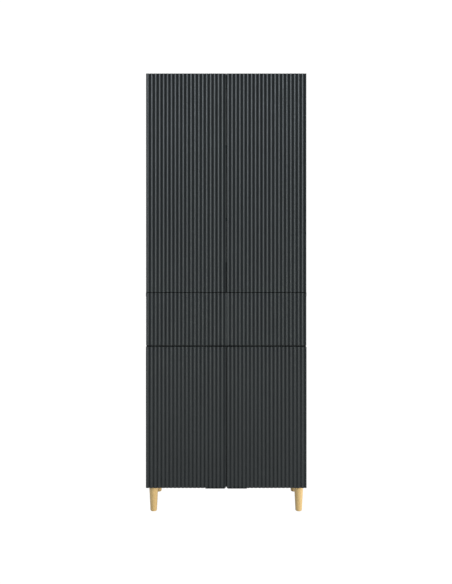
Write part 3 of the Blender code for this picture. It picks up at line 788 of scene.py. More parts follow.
def front_plan(runs):
    """The reeded line with a quarter round at both side edges, then the back's two rolled corners.

    At an angle a into the round the line is EDGE_ROLL * (1 - cos a) from the edge and falls back by
    EDGE_ROLL * (1 - sin a).
    """
    reeded = np.concatenate([reeds(start, end) for start, end in runs])
    left, right = runs[0][0], runs[-1][1]
    angle = np.linspace(0.0, math.pi / 2, 6)
    from_edge = EDGE_ROLL * (1 - np.cos(angle))
    x = np.concatenate([left + from_edge, right - from_edge[::-1]])
    fall = EDGE_ROLL * (1 - np.sin(np.concatenate([angle, angle[::-1]])))
    rounds = np.stack([x, np.interp(x, *reeded.T) + fall], axis=1)
    kept = (reeded[:, 0] > left + EDGE_ROLL + SLIVER) & (reeded[:, 0] < right - EDGE_ROLL - SLIVER)
    face = np.concatenate([rounds[: len(angle)], reeded[kept], rounds[len(angle) :]])
    corner = [(right, FRONT_BACK_Y), (left, FRONT_BACK_Y)]
    near = [(right, FRONT_BACK_Y - 2 * BACK_ROLL), *corner, (left, FRONT_BACK_Y - 2 * BACK_ROLL)]
    back = rolled(near, (0.0, BACK_ROLL, BACK_ROLL, 0.0))
    steps = len(back) // 4
    return np.concatenate([face, back[steps : 3 * steps]])


print("a tall door's outline has", len(front_plan([(-0.4, -0.001)])), "points")


# %% [markdown]
# ## Drilling and routing
# A door's back has round pockets for its hinge cups, and an upper door's closing edge has a rebate at its
# foot that the pull is let into. Pockets and rebates cut across the grid, so they are taken out of the
# finished surface with a Boolean, as a drill or a router would, and the result becomes the piece's mesh.

# %% Drilling and routing
def bored(piece, cutters):
    """Takes closed shells out of a piece and keeps the result as its mesh."""
    mesh = joined("cutter", cutters)[0]
    close(mesh)
    helper = linked("cutter", mesh)
    piece.modifiers.clear()
    cut = piece.modifiers.new("cut", "BOOLEAN")
    cut.object = helper
    cut.solver = "EXACT"
    bpy.context.view_layer.update()
    graph = bpy.context.evaluated_depsgraph_get()
    result = bpy.data.meshes.new_from_object(piece.evaluated_get(graph))
    before = piece.data
    piece.modifiers.clear()
    piece.data = result
    result.name = piece.name
    bpy.data.objects.remove(helper)
    bpy.data.meshes.remove(mesh)
    bpy.data.meshes.remove(before)
    soften(piece)
    return piece


def pocket(radius, depth, outside, centre, axes, signs=(1, 1, 1), segments=48):
    """A straight-sided round cutter: it goes depth into the piece and stands outside by outside."""
    profile = [(radius, -depth), (radius, outside)]
    return moved(turned(profile, segments), centre, axes, signs)


ALONG_Y = (0, 2, 1)  # a turned shape laid with its axis along Y
ALONG_X = (2, 0, 1)
print("a pocket cutter has", len(pocket(0.01, 0.01, 0.001, (0, 0, 0), ALONG_Y)[1]), "sides")


# %% [markdown]
# ## Doors
# Each door is its plan carried up from foot to top. A cup's bore is the standard 35 mm across and 12.5 mm
# deep. On a tall door the rebate for the pull is 1.8 mm deep and runs out at the foot and at both faces,
# as a router's cut would.

# %% Four doors
CUP_BORE_RADIUS = 0.0175
CUP_BORE_DEPTH = 0.0125
BORE_OUTSIDE = 0.004  # how far a cutter stands out of the surface that it cuts
REBATE_DEPTH = 0.0018
REBATE_RUN_OUT = 0.01
REBATE_CLEARANCE = 0.0003


def cups_of(prefix, side):
    """Centres of the hinge cups of one door, on the plane of the door's back."""
    found = sorted(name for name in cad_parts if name.startswith(f"{prefix}_hinge_cup_{side}_"))
    centres = [sum(corners_of(name)) / 2 for name in found]
    return found, [np.array((centre[0], FRONT_BACK_Y, centre[2])) for centre in centres]


def pull_rebate(side, sign, closing):
    """A cutter along a tall door's closing edge, from below its foot to just over the pull."""
    low, high = corners_of(f"upper_pull_{side}")
    x = sorted((closing + sign * REBATE_DEPTH, closing - sign * REBATE_RUN_OUT))
    start = (x[0], low[1] - REBATE_RUN_OUT, low[2] - 5 * REBATE_RUN_OUT)
    end = (x[1], high[1] + REBATE_RUN_OUT, high[2] + REBATE_CLEARANCE)
    return eased_box(start, end, REBATE_CLEARANCE / 3, steps=1)


def make_doors():
    """Each door has its reeds, its cup pockets and, on the upper ones, the pull's rebate."""
    for prefix in ("upper", "lower"):
        for side, sign in SIDES:
            name = f"{prefix}_door_{side}"
            low, high = corners_of(name)
            part = carried(front_plan([(low[0], high[0])]), low[2], high[2], FRONT_EASING)
            body = f"{prefix}_{side}_door"
            door = make_piece(f"reeded_{name}", [part], REEDED_FOIL, body, [name])
            bore = (CUP_BORE_RADIUS, CUP_BORE_DEPTH, BORE_OUTSIDE)
            cutters = [pocket(*bore, centre, ALONG_Y) for centre in cups_of(prefix, side)[1]]
            if prefix == "upper":
                cutters.append(pull_rebate(side, sign, high[0] if sign < 0 else low[0]))
            bored(door, cutters)
            count = math.ceil((high[0] - low[0]) / REED_PITCH)
            print(name, "reeds:", count, "faces:", len(door.data.polygons))


make_doors()


# %% [markdown]
# ## The drawer's front
# One board spans both doors. Its reeds run in two sets that start where the tall doors' reeds start, so the
# ribs line up from the drawer to the top, and the narrow last reed of the left set falls under the gap.

# %% One front with two runs of reeds
def make_drawer_front():
    """The plan of two runs that meet under the right tall door's edge, carried up as a door's is."""
    low, high = corners_of("drawer_front")
    seam = corners_of("upper_door_right")[0][0]
    plan = front_plan([(low[0], seam), (seam, high[0])])
    part = carried(plan, low[2], high[2], FRONT_EASING)
    make_piece("reeded_drawer_front", [part], REEDED_FOIL, "drawer", ["drawer_front"])
    print("drawer front:", np.round(high - low, 4))


make_drawer_front()


# %% [markdown]
# ## Turned legs
# Each leg is a cone on a lathe: a soft chamfer at the top, a straight taper, and a rounded foot. Its profile
# is worked out from the frame leg's height and radii, with enough rings for the taper to take the light.

# %% Four legs
LEG_SEGMENTS = 96
LEG_TOP_ROUND = 0.0015
LEG_FOOT_RADIUS = 0.0165
LEG_FOOT_ROUND = 0.005


def leg_profile(top_radius, height):
    """(radius, height) from the top's middle, round its edge, down the taper, round the foot, to the middle.

    At an angle a into the top round its point is round * (1 - sin a) in and round * (1 - cos a) down, and
    the foot's round is the same the other way. The taper between them is straight.
    """
    bend = np.linspace(0.0, math.pi / 2, 7)
    down = np.linspace(0.0, 1.0, 14)[1:-1]
    length = height - LEG_TOP_ROUND - LEG_FOOT_ROUND
    top = (top_radius - LEG_TOP_ROUND * (1 - np.sin(bend)), height - LEG_TOP_ROUND * (1 - np.cos(bend)))
    taper = (top_radius + (LEG_FOOT_RADIUS - top_radius) * down, height - LEG_TOP_ROUND - length * down)
    foot = (LEG_FOOT_RADIUS - LEG_FOOT_ROUND * (1 - np.cos(bend)), LEG_FOOT_ROUND * (1 - np.sin(bend)))
    rows = [np.stack(stretch, axis=1) for stretch in (top, taper, foot)]
    return np.concatenate([[(0.0, height)], *rows, [(0.0, 0.0)]])


def make_legs():
    """A leg stands where the frame's leg stands, and is as tall and as wide at the top."""
    for row in ("front", "rear"):
        for side, _ in SIDES:
            name = f"leg_{row}_{side}"
            low, high = corners_of(name)
            middle = (low + high) / 2
            profile = leg_profile((high[0] - low[0]) / 2, high[2] - low[2])
            part = moved(turned(profile, LEG_SEGMENTS), (middle[0], middle[1], low[2]))
            make_piece(f"beech_{name}", [part], BEECH, "carcass", [name])
    print("legs: height", round(high[2] - low[2], 4), "top radius", round((high[0] - low[0]) / 2, 4))


make_legs()


# %% [markdown]
# ## Edge pulls
# There are no knobs. Each pull is an angle of thin sheet folded over a front's edge: a lip stands two
# millimetres proud of the crests for a fingertip, and a flange screwed behind the front holds it. The upper
# ones run up the two closing edges, side by side, and the others hang under the drawer and the low doors.
# One bent outline makes all five, with a press-brake round on the outside of the fold.

# %% The outline of a pull
PULL_FLANGE = 0.0012
FOLD = 0.0012
INNER_FOLD = 0.0006
CUT_EDGE = 0.0004
PULL_EASING = 0.0005


def pull_outline(plate, reach, front, back):
    """Distance from the edge's outer face, and y: an L with a rounded nose and a rounded fold."""
    corners = [
        (0.0, front),
        (plate, front),
        (plate, back - PULL_FLANGE),
        (reach, back - PULL_FLANGE),
        (reach, back),
        (0.0, back),
    ]
    nose = plate * 0.42
    return rolled(corners, (nose, nose, INNER_FOLD, CUT_EDGE, CUT_EDGE, FOLD), steps=5)


print("a pull's outline has", len(pull_outline(PULL_FLANGE, 0.015, -0.2, -0.18)), "points")


# %% [markdown]
# ## The upright pair
# Each tall door has one in the rebate of its closing edge, lip outwards. The outline is measured from the
# outer face of the closing edge, so the right one is the left one mirrored.

# %% Two upright pulls
def make_closing_pulls():
    """The outline in X and Y carried up from the door's foot."""
    for side, sign in SIDES:
        name = f"upper_pull_{side}"
        low, high = corners_of(name)
        outline = pull_outline(PULL_FLANGE, high[0] - low[0], low[1], high[1])
        outer = high[0] if sign < 0 else low[0]
        outline[:, 0] = outer + sign * outline[:, 0]
        part = carried(outline, low[2], high[2], PULL_EASING)
        make_piece(f"bent_{name}", [part], PULL_COAT, f"upper_{side}_door", [name])


make_closing_pulls()
print("upright pulls: lip at y =", round(float(corners_of("upper_pull_left")[0][1]), 4))


# %% [markdown]
# ## The level pulls
# The others hang under the drawer and the low doors, with the outline turned so that its plate lies
# flat. The drawer's lip dips back in the middle, so that a finger can get in behind it. The dip is a smooth
# step from nothing to 6 mm over 6 mm at each of its ends, which needs extra stops along the pull there.

# %% Three level pulls
LEVEL_PULLS = {  # the body that carries each, and its plate's thickness
    "drawer_pull": ("drawer", 0.0024),
    "lower_pull_left": ("lower_left_door", 0.0018),
    "lower_pull_right": ("lower_right_door", 0.0018),
}
DIP_HALF = 0.020
DIP_SLOPE = 0.006
DIP_DEPTH = 0.006


def dipped(points):
    """The lip moved back by DIP_DEPTH * t^2 (3 - 2t), where t runs from 0 to 1 over the slope."""
    t = np.clip((DIP_HALF - np.abs(points[:, 0])) / DIP_SLOPE, 0.0, 1.0)
    points[:, 1] += np.where(points[:, 1] < CREST_Y, DIP_DEPTH * t * t * (3 - 2 * t), 0.0)


def make_hanging_pulls():
    """The outline in Z and Y carried along X."""
    for name, (body, plate) in LEVEL_PULLS.items():
        low, high = corners_of(name)
        outline = pull_outline(plate, high[2] - low[2], low[1], high[1])
        outline[:, 0] += low[2]
        stops = np.linspace(-DIP_HALF - 0.001, DIP_HALF + 0.001, 43) if body == "drawer" else ()
        part = carried(outline, low[0], high[0], PULL_EASING, axes=(2, 1, 0), stops=stops)
        if body == "drawer":
            dipped(part[0])
        make_piece(f"bent_{name}", [part], PULL_COAT, body, [name])


make_hanging_pulls()
print("level pulls:", ", ".join(LEVEL_PULLS))


# %% [markdown]
# ## The seal between the upright pulls
# A soft strip on the left door's closing edge shuts the gap behind the pair. Its near-black colour is
# painted shade, standing in for the shadow in that gap, so that it reads as one black line. It stops short
# of the right door, which swings clear of it.

# %% A seal strip
SEAL_Y = (-0.1860, -0.1845)


def make_gap_seal():
    """A rounded strip's outline carried up behind the pulls."""
    low, high = corners_of("upper_pull_left")
    left, right = high[0] - 0.0001, corners_of("upper_pull_right")[0][0] - 0.0003
    corners = [(left, SEAL_Y[0]), (right, SEAL_Y[0]), (right, SEAL_Y[1]), (left, SEAL_Y[1])]
    outline = rolled(corners, (0.0002, 0.0006, 0.0006, 0.0002), steps=3)
    part = carried(outline, low[2] + 0.001, high[2] - 0.001, 0.0004)
    # The strip wears the near-black painted-shade seal finish.
    make_piece("closing_gap_seal", [part], SEAL_PAINTED_SHADE, "upper_left_door")
    print("seal:", round((right - left) * 1000, 2), "mm wide")


make_gap_seal()


# %% [markdown]
# ## Screws
# Every screw head here is the same idea: a low dome with a cross-shaped recess. Going round the head, the
# recess's edge is the outline of a plus sign in polar form: the larger of two bars' distances from the
# middle. The dome's ring is joined to that outline, the outline is sunk, and the middle closes it.

# %% A screw head
def spun(rows, angle, caps=True):
    """A shell of rows (reach at each angle, height) round the Z axis, for outlines that aren't circles."""
    reach = np.stack([row for row, _ in rows])
    grid = np.empty((len(rows), len(angle), 3))
    grid[:, :, 0] = reach * np.cos(angle)
    grid[:, :, 1] = reach * np.sin(angle)
    grid[:, :, 2] = np.array([z for _, z in rows])[:, None]
    return shell(grid, caps)


def screw_head(radius, height, segments=32):
    """A head standing on z = 0. The recess is max(min(L/|cos|, w/|sin|), min(L/|sin|, w/|cos|)) wide."""
    angle = np.linspace(0.0, ROUND, segments, endpoint=False) + ROUND / segments / 2
    level = np.abs(np.cos(angle))
    upright = np.abs(np.sin(angle))
    long, wide = 0.62 * radius, 0.16 * radius
    bars = np.minimum(long / level, wide / upright), np.minimum(long / upright, wide / level)
    plus = np.maximum(*bars)
    circle = np.ones(segments)
    rows = [
        (0.02 * radius * circle, 0.0),
        (0.96 * radius * circle, 0.0),
        (radius * circle, 0.30 * height),
        (0.93 * radius * circle, 0.68 * height),
        (0.78 * radius * circle, 0.92 * height),
        (plus, height),
        (0.86 * plus, 0.45 * height),
        (0.02 * radius * circle, 0.30 * height),
    ]
    return spun(rows, angle)


print("a screw head has", len(screw_head(0.003, 0.001)[1]), "quads")


# %% [markdown]
# ## Hinge cups
# The moving half of a concealed hinge is a drawn steel bowl with two wings, sunk in the door. Its rim is a
# circle, its wings are a rounded bar across the circle, and the flange's edge is whichever reaches farther.
# A cross-headed screw sits in each wing.

# %% Hinge cups
CUP_WING_HALF = (0.009, 0.028)  # half the width and half the length of the wings' bar
CUP_RIM = 0.0187
CUP_SCREW_RISE = 0.0235  # from the cup's middle to each screw
CUP_SCREW_STAND = 0.0015


def cup_shell(segments=120):
    """Mouth in the plane z = 0, bowl below it, winged flange above it.

    Towards an angle a from the wing's line the wing reaches
    ((sin a / half width)^6 + (cos a / half length)^6)^(-1/6), and the flange the larger of that and the rim.
    """
    angle = np.linspace(0.0, ROUND, segments, endpoint=False)
    across, along = np.abs(np.cos(angle)), np.abs(np.sin(angle))
    wing = ((across / CUP_WING_HALF[0]) ** 6 + (along / CUP_WING_HALF[1]) ** 6) ** (-1 / 6)
    edge = np.maximum(wing, CUP_RIM)
    circle = np.ones(segments)
    bend = np.linspace(0.0, math.pi / 2, 6)
    inner = [((0.0128 + 0.0030 * math.sin(a)) * circle, -0.0080 - 0.0030 * math.cos(a)) for a in bend]
    outer = [((0.0142 + 0.0030 * math.cos(a)) * circle, -0.0092 - 0.0030 * math.sin(a)) for a in bend]
    rows = [(0.0 * circle, -0.0110), *inner]
    rows += [(0.0158 * circle, 0.0008), (0.0161 * circle, 0.0013), (0.0166 * circle, 0.0015)]
    rows += [(edge - 0.0005, 0.0015), (edge - 0.00015, 0.00135), (edge, 0.0010), (edge, 0.0003)]
    rows += [(0.0172 * circle, 0.0003), *outer, (0.0 * circle, -0.0122)]
    return spun(rows, angle, caps=False)


def make_cups():
    """A cup and its two screws in every pocket, riding on the door."""
    for prefix in ("upper", "lower"):
        for side, _ in SIDES:
            names, centres = cups_of(prefix, side)
            for name, centre in zip(names, centres):
                parts = [moved(cup_shell(), centre, ALONG_Y)]
                for rise in (-CUP_SCREW_RISE, CUP_SCREW_RISE):
                    spot = centre + (0.0, CUP_SCREW_STAND, rise)
                    parts.append(moved(screw_head(0.0034, 0.0012), spot, ALONG_Y))
                finishes = [NICKEL, SCREW_ZINC, SCREW_ZINC]
                make_piece(f"drawn_{name}", parts, finishes, f"{prefix}_{side}_door", [name])


make_cups()
print("hinge cups: rim", CUP_RIM, "wings", CUP_WING_HALF)


# %% [markdown]
# ## Hinge arms
# The fixed half is a plate screwed to the side panel and an arm clipped on to it. The arm's side view is a
# bent bar that steps down to its tongue, which reaches into the bowl. One screw on it sets the door sideways
# and one locks it. It is drawn for the left panel and mirrored for the right.

# %% The fixed half of a hinge
PLATE_DEEP, PLATE_TALL = 0.026, 0.044
PLATE_THICK = 0.003
PLATE_ROUND = 0.006
ARM_WIDE = 0.014
ARM_RISE = 0.016
HINGE_LINE_BACK = 0.037  # from the carcass's front edges to the middle of the mounting plate
PANEL_GAP = 0.0003  # a plate lies this far off its panel
PLATE_SCREW_RISE = 0.016
ARM_SCREWS = ((0.008, 0.0042, 0.0137), (-0.016, 0.0036, 0.0152))  # y, head radius, height over the panel


def arm_shells():
    """The fixed half for the left panel: x away from the panel, the plate's middle at the origin."""
    deep, tall, half = PLATE_DEEP / 2, PLATE_TALL / 2, ARM_WIDE / 2
    plate = rolled([(-deep, -tall), (deep, -tall), (deep, tall), (-deep, tall)], PLATE_ROUND, steps=6)
    top = PANEL_GAP + PLATE_THICK
    parts = [carried(plate, PANEL_GAP, top, 0.0006, axes=(1, 2, 0))]
    tip = -HINGE_LINE_BACK - 0.0065
    side = [
        (0.0018, 0.018),
        (0.0018, -0.029),
        (0.0060, -0.035),
        (0.0060, tip),
        (ARM_RISE, tip),
        (ARM_RISE, -0.029),
        (ARM_RISE - PLATE_THICK, 0.018),
    ]
    bends = (0.0006, 0.0015, 0.0015, 0.0020, 0.0045, 0.0080, 0.0020)
    parts.append(carried(rolled(side, bends, steps=5), -half, half, 0.0014))
    for y, radius, lift in ARM_SCREWS:
        parts.append(moved(screw_head(radius, 0.0012), (lift, y, 0.0), ALONG_X))
    for z in (-PLATE_SCREW_RISE, PLATE_SCREW_RISE):
        parts.append(moved(screw_head(0.0038, 0.0011), (top, 0.0, z), ALONG_X))
    return parts, [NICKEL] * 2 + [SCREW_ZINC] * 4


print("a hinge's fixed half is made of", len(arm_shells()[0]), "shells")


# %% [markdown]
# ## Arms on the panels
# Each arm sits on its own side panel, level with its cup, its plate's middle a fixed way behind the front
# edges. The shells are worked out once and moved to each place.

# %% Ten hinge arms
ARM_END_BACK = 0.018  # from the plate's middle back to the arm's end


def make_arms():
    """The same shells at each frame arm, mirrored on the right."""
    parts, finishes = arm_shells()
    count = 0
    for prefix in ("upper", "lower"):
        for side, sign in SIDES:
            found = sorted(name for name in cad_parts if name.startswith(f"{prefix}_hinge_arm_{side}_"))
            for name in found:
                low, high = corners_of(name)
                panel = low[0] - PANEL_GAP if sign < 0 else high[0] + PANEL_GAP
                spot = (panel, high[1] - ARM_END_BACK, (low[2] + high[2]) / 2)
                placed_parts = [moved(part, spot, signs=(-sign, 1, 1)) for part in parts]
                make_piece(f"pressed_{name}", placed_parts, finishes, "carcass", [name])
                count += 1
    print("hinge arms:", count)


make_arms()


# %% [markdown]
# ## Boards and their edge bands
# Each carcass board is a laminated core with a strip glued on its front edge. The strip is a shell of its
# own, a millimetre thick with the rounder edge, so a hair of shadow shows where it meets the core.

# %% A banded board
BAND = 0.001
BAND_EASING = 0.0007
BOARD_EASING = 0.0003


def edge_band(low, high):
    """The strip: square at the back, rounded at the front, drawn along the board's longer edge."""
    long = 0 if high[0] - low[0] > high[2] - low[2] else 2
    short = 2 - long
    front, back = low[1], low[1] + BAND
    corners = [(low[short], front), (high[short], front), (high[short], back), (low[short], back)]
    outline = rolled(corners, (BAND_EASING, BAND_EASING, 0.00005, 0.00005), steps=4)
    return carried(outline, low[long], high[long], BOARD_EASING, axes=(short, 1, long))


def banded_board(name, low, high):
    """A core and the band on its front edge, standing for the frame's board."""
    core = eased_box((low[0], low[1] + BAND, low[2]), high, BOARD_EASING, steps=2)
    parts = [core, edge_band(low, high)]
    # The band takes the near-black finish that paints the shadow in the gaps.
    return make_piece(f"board_{name}", parts, [BOARD_LAMINATE, EDGE_BAND_PAINTED_SHADE], "carcass", [name])


print("a banded board has", len(edge_band((0, 0, 0), (1, 1, 0.1))[1]), "quads in its strip")


# %% [markdown]
# ## Pin holes
# The panels are drilled with rows of five millimetre holes, 32 mm apart, around each shelf, so that it can
# be set higher or lower. The partition is thinner than two holes are deep, so it is drilled less than
# half-way through from each face.

# %% Cutters for the pin holes
HOLE_RADIUS = 0.0025
HOLE_PITCH = 0.032
HOLE_DEPTH = 0.010
HOLE_STEPS = range(-3, 4)  # holes below and above the one that the shelf lies on
CORE_LEFT = 0.003  # half of the wood left between two holes in the partition
PIN_ROWS_Y = (-0.128, 0.160)
SHELVES_ON = {
    "upper_side_left": (1, ("upper_shelf_lower", "upper_shelf_higher")),
    "upper_side_right": (-1, ("upper_shelf_lower", "upper_shelf_higher")),
    "lower_side_left": (1, ("lower_shelf_left",)),
    "lower_side_right": (-1, ("lower_shelf_right",)),
}


def pin_height(shelf):
    """The middle of the pins under a shelf."""
    return corners_of(shelf)[0][2] - HOLE_RADIUS - 0.0003


def pin_holes(panel, facing, shelves):
    """Round cutters in a panel's inner face, facing +X for 1 and -X for -1."""
    low, high = corners_of(panel)
    face = high[0] if facing > 0 else low[0]
    cutters = []
    for shelf in shelves:
        for step in HOLE_STEPS:
            for y in PIN_ROWS_Y:
                centre = (face, y, pin_height(shelf) + step * HOLE_PITCH)
                signs = (facing, 1, 1)
                cutters.append(pocket(HOLE_RADIUS, HOLE_DEPTH, 0.002, centre, ALONG_X, signs, segments=16))
    return cutters


def shorten(cutter):
    """Its end inside the partition moved to CORE_LEFT from the middle."""
    points, quads, ends = cutter
    middle = points.mean(axis=0)
    inside = np.abs(points[:, 0]) < abs(middle[0])
    points = points.copy()
    points[inside, 0] = np.sign(middle[0]) * CORE_LEFT
    return points, quads, ends


print("holes per panel for each shelf:", len(HOLE_STEPS) * len(PIN_ROWS_Y))


# %% [markdown]
# ## The carcass
# With those two helpers every board of both modules is one line: a banded board between its frame corners,
# and holes where shelves hang on it.

# %% All the boards
BOARDS = ("lower_bottom", "lower_top", "lower_partition", "lower_shelf_left", "lower_shelf_right")
BOARDS += ("lower_side_left", "lower_side_right", "drawer_divider", "upper_bottom", "upper_top")
BOARDS += ("upper_shelf_lower", "upper_shelf_higher", "upper_side_left", "upper_side_right")


def make_boards():
    """Every board, drilled where it carries shelves."""
    for name in BOARDS:
        board = banded_board(name, *corners_of(name))
        if name in SHELVES_ON:
            bored(board, pin_holes(name, *SHELVES_ON[name]))
        if name == "lower_partition":
            both = pin_holes(name, -1, ("lower_shelf_left",)) + pin_holes(name, 1, ("lower_shelf_right",))
            bored(board, [shorten(cutter) for cutter in both])
    print("boards:", len(BOARDS), "hole pitch:", HOLE_PITCH)


make_boards()


# %% [markdown]
# ## Shelf pins
# Each shelf lies on four plain steel pins pushed into the panels. Pieces this small and alike are made as
# one object for each body that carries them: one shell, copied to every place and mirrored where it faces
# the other way.

# %% Shelf pins
def scattered(name, part, places, finish_used, body, axes=(0, 1, 2)):
    """One object made of copies of a shell. Each place is (position, signs)."""
    parts = [moved(part, position, axes, signs) for position, signs in places]
    make_piece(name, parts, finish_used, body)
    print(name, "x", len(parts))


PIN_RADIUS = 0.0024
PIN_HALF_LENGTH = 0.008
THIN_PANEL_SHIFT = 0.0052  # a pin in the partition stands this much farther out
BAYS = {  # the faces that each shelf hangs between
    "upper_shelf_lower": (-0.382, 0.382),
    "upper_shelf_higher": (-0.382, 0.382),
    "lower_shelf_left": (-0.382, -0.008),
    "lower_shelf_right": (0.008, 0.382),
}


def make_shelf_pins():
    """A pin's profile is straight, a little rounded at both ends, half in the panel and half out."""
    straight = [(PIN_RADIUS, z) for z in (-0.0075, 0.0, 0.0002, 0.0012, 0.0014, 0.0072)]
    profile = [(0.0, -PIN_HALF_LENGTH), (0.0023, -PIN_HALF_LENGTH), *straight]
    profile += [(0.0020, 0.0078), (0.0, 0.0078)]
    places = []
    for shelf, (left, right) in BAYS.items():
        for y in PIN_ROWS_Y:
            for x, facing in ((left, 1), (right, -1)):
                out = THIN_PANEL_SHIFT if abs(x) < 0.1 else 0.0
                places.append(((x + facing * out, y, pin_height(shelf)), (facing, 1, 1)))
    scattered("shelf_pins", turned(profile, 20), places, SCREW_ZINC, "carcass", ALONG_X)


make_shelf_pins()


# %% [markdown]
# ## Cam covers
# The dowel cams that draw the boards together are hidden under round plastic covers, which show as low
# discs inside the top, the bottoms and the drawer's ceiling.

# %% Cam covers
CAM_X = 0.348
CAM_ROWS_Y = (-0.110, 0.125)
COVERED = (("upper_top", 0, -1), ("upper_bottom", 1, 1), ("lower_bottom", 1, 1), ("lower_top", 0, -1))
COVER = [(0.0, 0.0009), (0.0068, 0.0009), (0.0080, 0.0007), (0.0085, 0.0), (0.0, 0.0)]


def make_cam_covers():
    """Covers on upward faces stand up, and those on downward faces hang."""
    places = []
    for name, corner, facing in COVERED:
        z = corners_of(name)[corner][2]
        for x in (-CAM_X, CAM_X):
            places += [((x, y, z), (1, 1, facing)) for y in CAM_ROWS_Y]
    scattered("cam_covers", turned(COVER, 40), places, DARK_PLASTIC, "carcass")


make_cam_covers()


# %% [markdown]
# ## Buffers
# Soft clear buffers on the fronts' backs take up most of the gap to the carcass, so that a front shuts
# quietly. They sit where a board's edge is behind the front, near the edge that closes.

# %% Buffers
BUFFER = [(0.0, 0.0), (0.0042, 0.0), (0.0042, 0.0008), (0.0036, 0.0013), (0.0022, 0.0015), (0.0, 0.0015)]
BUFFER_X = {"upper": 0.034, "lower": 0.115, "drawer": 0.355}
BUFFER_Y = FRONT_BACK_Y + 0.0002


def make_buffers():
    """One object of buffers for each front, level with the middle of the board behind them."""
    boards = ("upper_top", "upper_bottom", "lower_bottom", "lower_top")
    top, foot, low_foot, ceiling = (sum(corners_of(name))[2] / 2 for name in boards)
    rows = []
    for side, sign in SIDES:
        x, x_low = sign * BUFFER_X["upper"], sign * BUFFER_X["lower"]
        rows.append((f"upper_buffers_{side}", f"upper_{side}_door", [(x, top), (x, foot)]))
        rows.append((f"lower_buffer_{side}", f"lower_{side}_door", [(x_low, low_foot)]))
    wide = BUFFER_X["drawer"]
    rows.append(("drawer_buffers", "drawer", [(-wide, ceiling), (wide, ceiling)]))
    for name, body, spots in rows:
        places = [((x, BUFFER_Y, z), (1, 1, 1)) for x, z in spots]
        scattered(name, turned(BUFFER, 28), places, SILICONE, body, ALONG_Y)


make_buffers()


# %% [markdown]
# ## Backs
# The backs are thin hardboard laid over the rear edges and nailed all round. The heads stand four tenths of
# a millimetre off the board, so the board's own face is that much farther in.

# %% Back panels and their nails
NAIL_STAND = 0.0004
NAIL_SPACING = 0.095
NAIL_MARGIN = 0.008


def make_backs():
    """Two sheets, and nails at even steps along all four edges of each."""
    nail = turned([(0.0, 0.0), (0.0024, 0.0), (0.0025, 0.0002), (0.0021, NAIL_STAND), (0.0, NAIL_STAND)], 16)
    places = []
    for name in ("upper_back", "lower_back"):
        low, high = corners_of(name)
        face = high[1] - NAIL_STAND
        part = eased_box(low, (high[0], face, high[2]), 0.0004, steps=2)
        make_piece(f"hardboard_{name}", [part], HARDBOARD, "carcass", [name])
        left, foot = low[0] + NAIL_MARGIN, low[2] + NAIL_MARGIN
        right, top = high[0] - NAIL_MARGIN, high[2] - NAIL_MARGIN
        level = np.linspace(left, right, round((right - left) / NAIL_SPACING) + 1)
        rise = np.linspace(foot, top, round((top - foot) / NAIL_SPACING) + 1)[1:-1]
        places += [(x, face, z) for x in level for z in (foot, top)]
        places += [(x, face, z) for x in (left, right) for z in rise]
    places = [(place, (1, 1, 1)) for place in places]
    scattered("back_nails", nail, places, SCREW_ZINC, "carcass", ALONG_Y)


make_backs()


# %% [markdown]
# ## The drawer box
# The box is four thin boards and a thinner bottom, wrapped in linen foil, which rounds their edges. Only
# the bottom has crisper edges, because it is slid into grooves.

# %% Drawer box
BOX_EASING = 0.0016
BOTTOM_EASING = 0.0006


def make_drawer_box():
    """Five eased boxes between their frame corners."""
    for name in ("drawer_side_left", "drawer_side_right", "drawer_box_front", "drawer_back", "drawer_bottom"):
        easing = BOTTOM_EASING if name == "drawer_bottom" else BOX_EASING
        part = eased_box(*corners_of(name), easing, steps=4)
        make_piece(f"linen_{name}", [part], LINEN_FOIL, "drawer", [name])
    print("drawer box:", len([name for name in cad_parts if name.startswith("drawer")]), "frame nodes")


make_drawer_box()


# %% [markdown]
# ## Runners
# The drawer slides on ball bearings: on each side a steel channel on the panel, and a narrower one on the
# box inside it, with its open side facing the first. Both are one bent outline carried from front to back.

# %% Four rails
SHEET = 0.0012


def channel(x_web, x_lip, z_low, z_high):
    """A channel's outline in X and Z: web at x_web, flanges to x_lip, every fold rounded."""
    step = math.copysign(SHEET, x_lip - x_web)
    lower = [(x_web, z_low), (x_lip, z_low), (x_lip, z_low + SHEET), (x_web + step, z_low + SHEET)]
    higher = [(x_web + step, z_high - SHEET), (x_lip, z_high - SHEET), (x_lip, z_high), (x_web, z_high)]
    folds = (0.0022, 0.0005, 0.0005, 0.0010, 0.0010, 0.0005, 0.0005, 0.0022)
    return rolled(lower + higher, folds, steps=5)


def rail_edges(node, sign):
    """A rail's corners, and the X of its web and of its lips. The sign tells which way it opens."""
    low, high = corners_of(node)
    return low, high, *((low[0], high[0]) if sign < 0 else (high[0], low[0]))


def make_rails():
    """On each side one on the panel, open inwards, and one on the drawer, open outwards."""
    for side, sign in SIDES:
        rails = ((f"runner_rail_{side}", "carcass", sign), (f"drawer_rail_{side}", "drawer", -sign))
        for name, body, opens in rails:
            low, high, web, lip = rail_edges(name, opens)
            part = carried(channel(web, lip, low[2], high[2]), low[1], high[1], 0.0004, axes=(0, 2, 1))
            make_piece(f"rolled_{name}", [part], ZINC, body, [name])
    print("rails:", round(high[1] - low[1], 3), "m long")


make_rails()


# %% [markdown]
# ## Balls and screws of the runners
# Two rows of balls run between the flanges. They stay near the front, where both channels meet whether the
# drawer is in or out. Three screws hold each rail.

# %% Balls and screws
BALL_RADIUS = 0.0024
BALL_PLACES_Y = np.arange(-0.165, -0.100, 0.0095)
RAIL_SCREWS_Y = (-0.140, 0.020, 0.140)
BOX_SCREW_SHIFT = 0.012


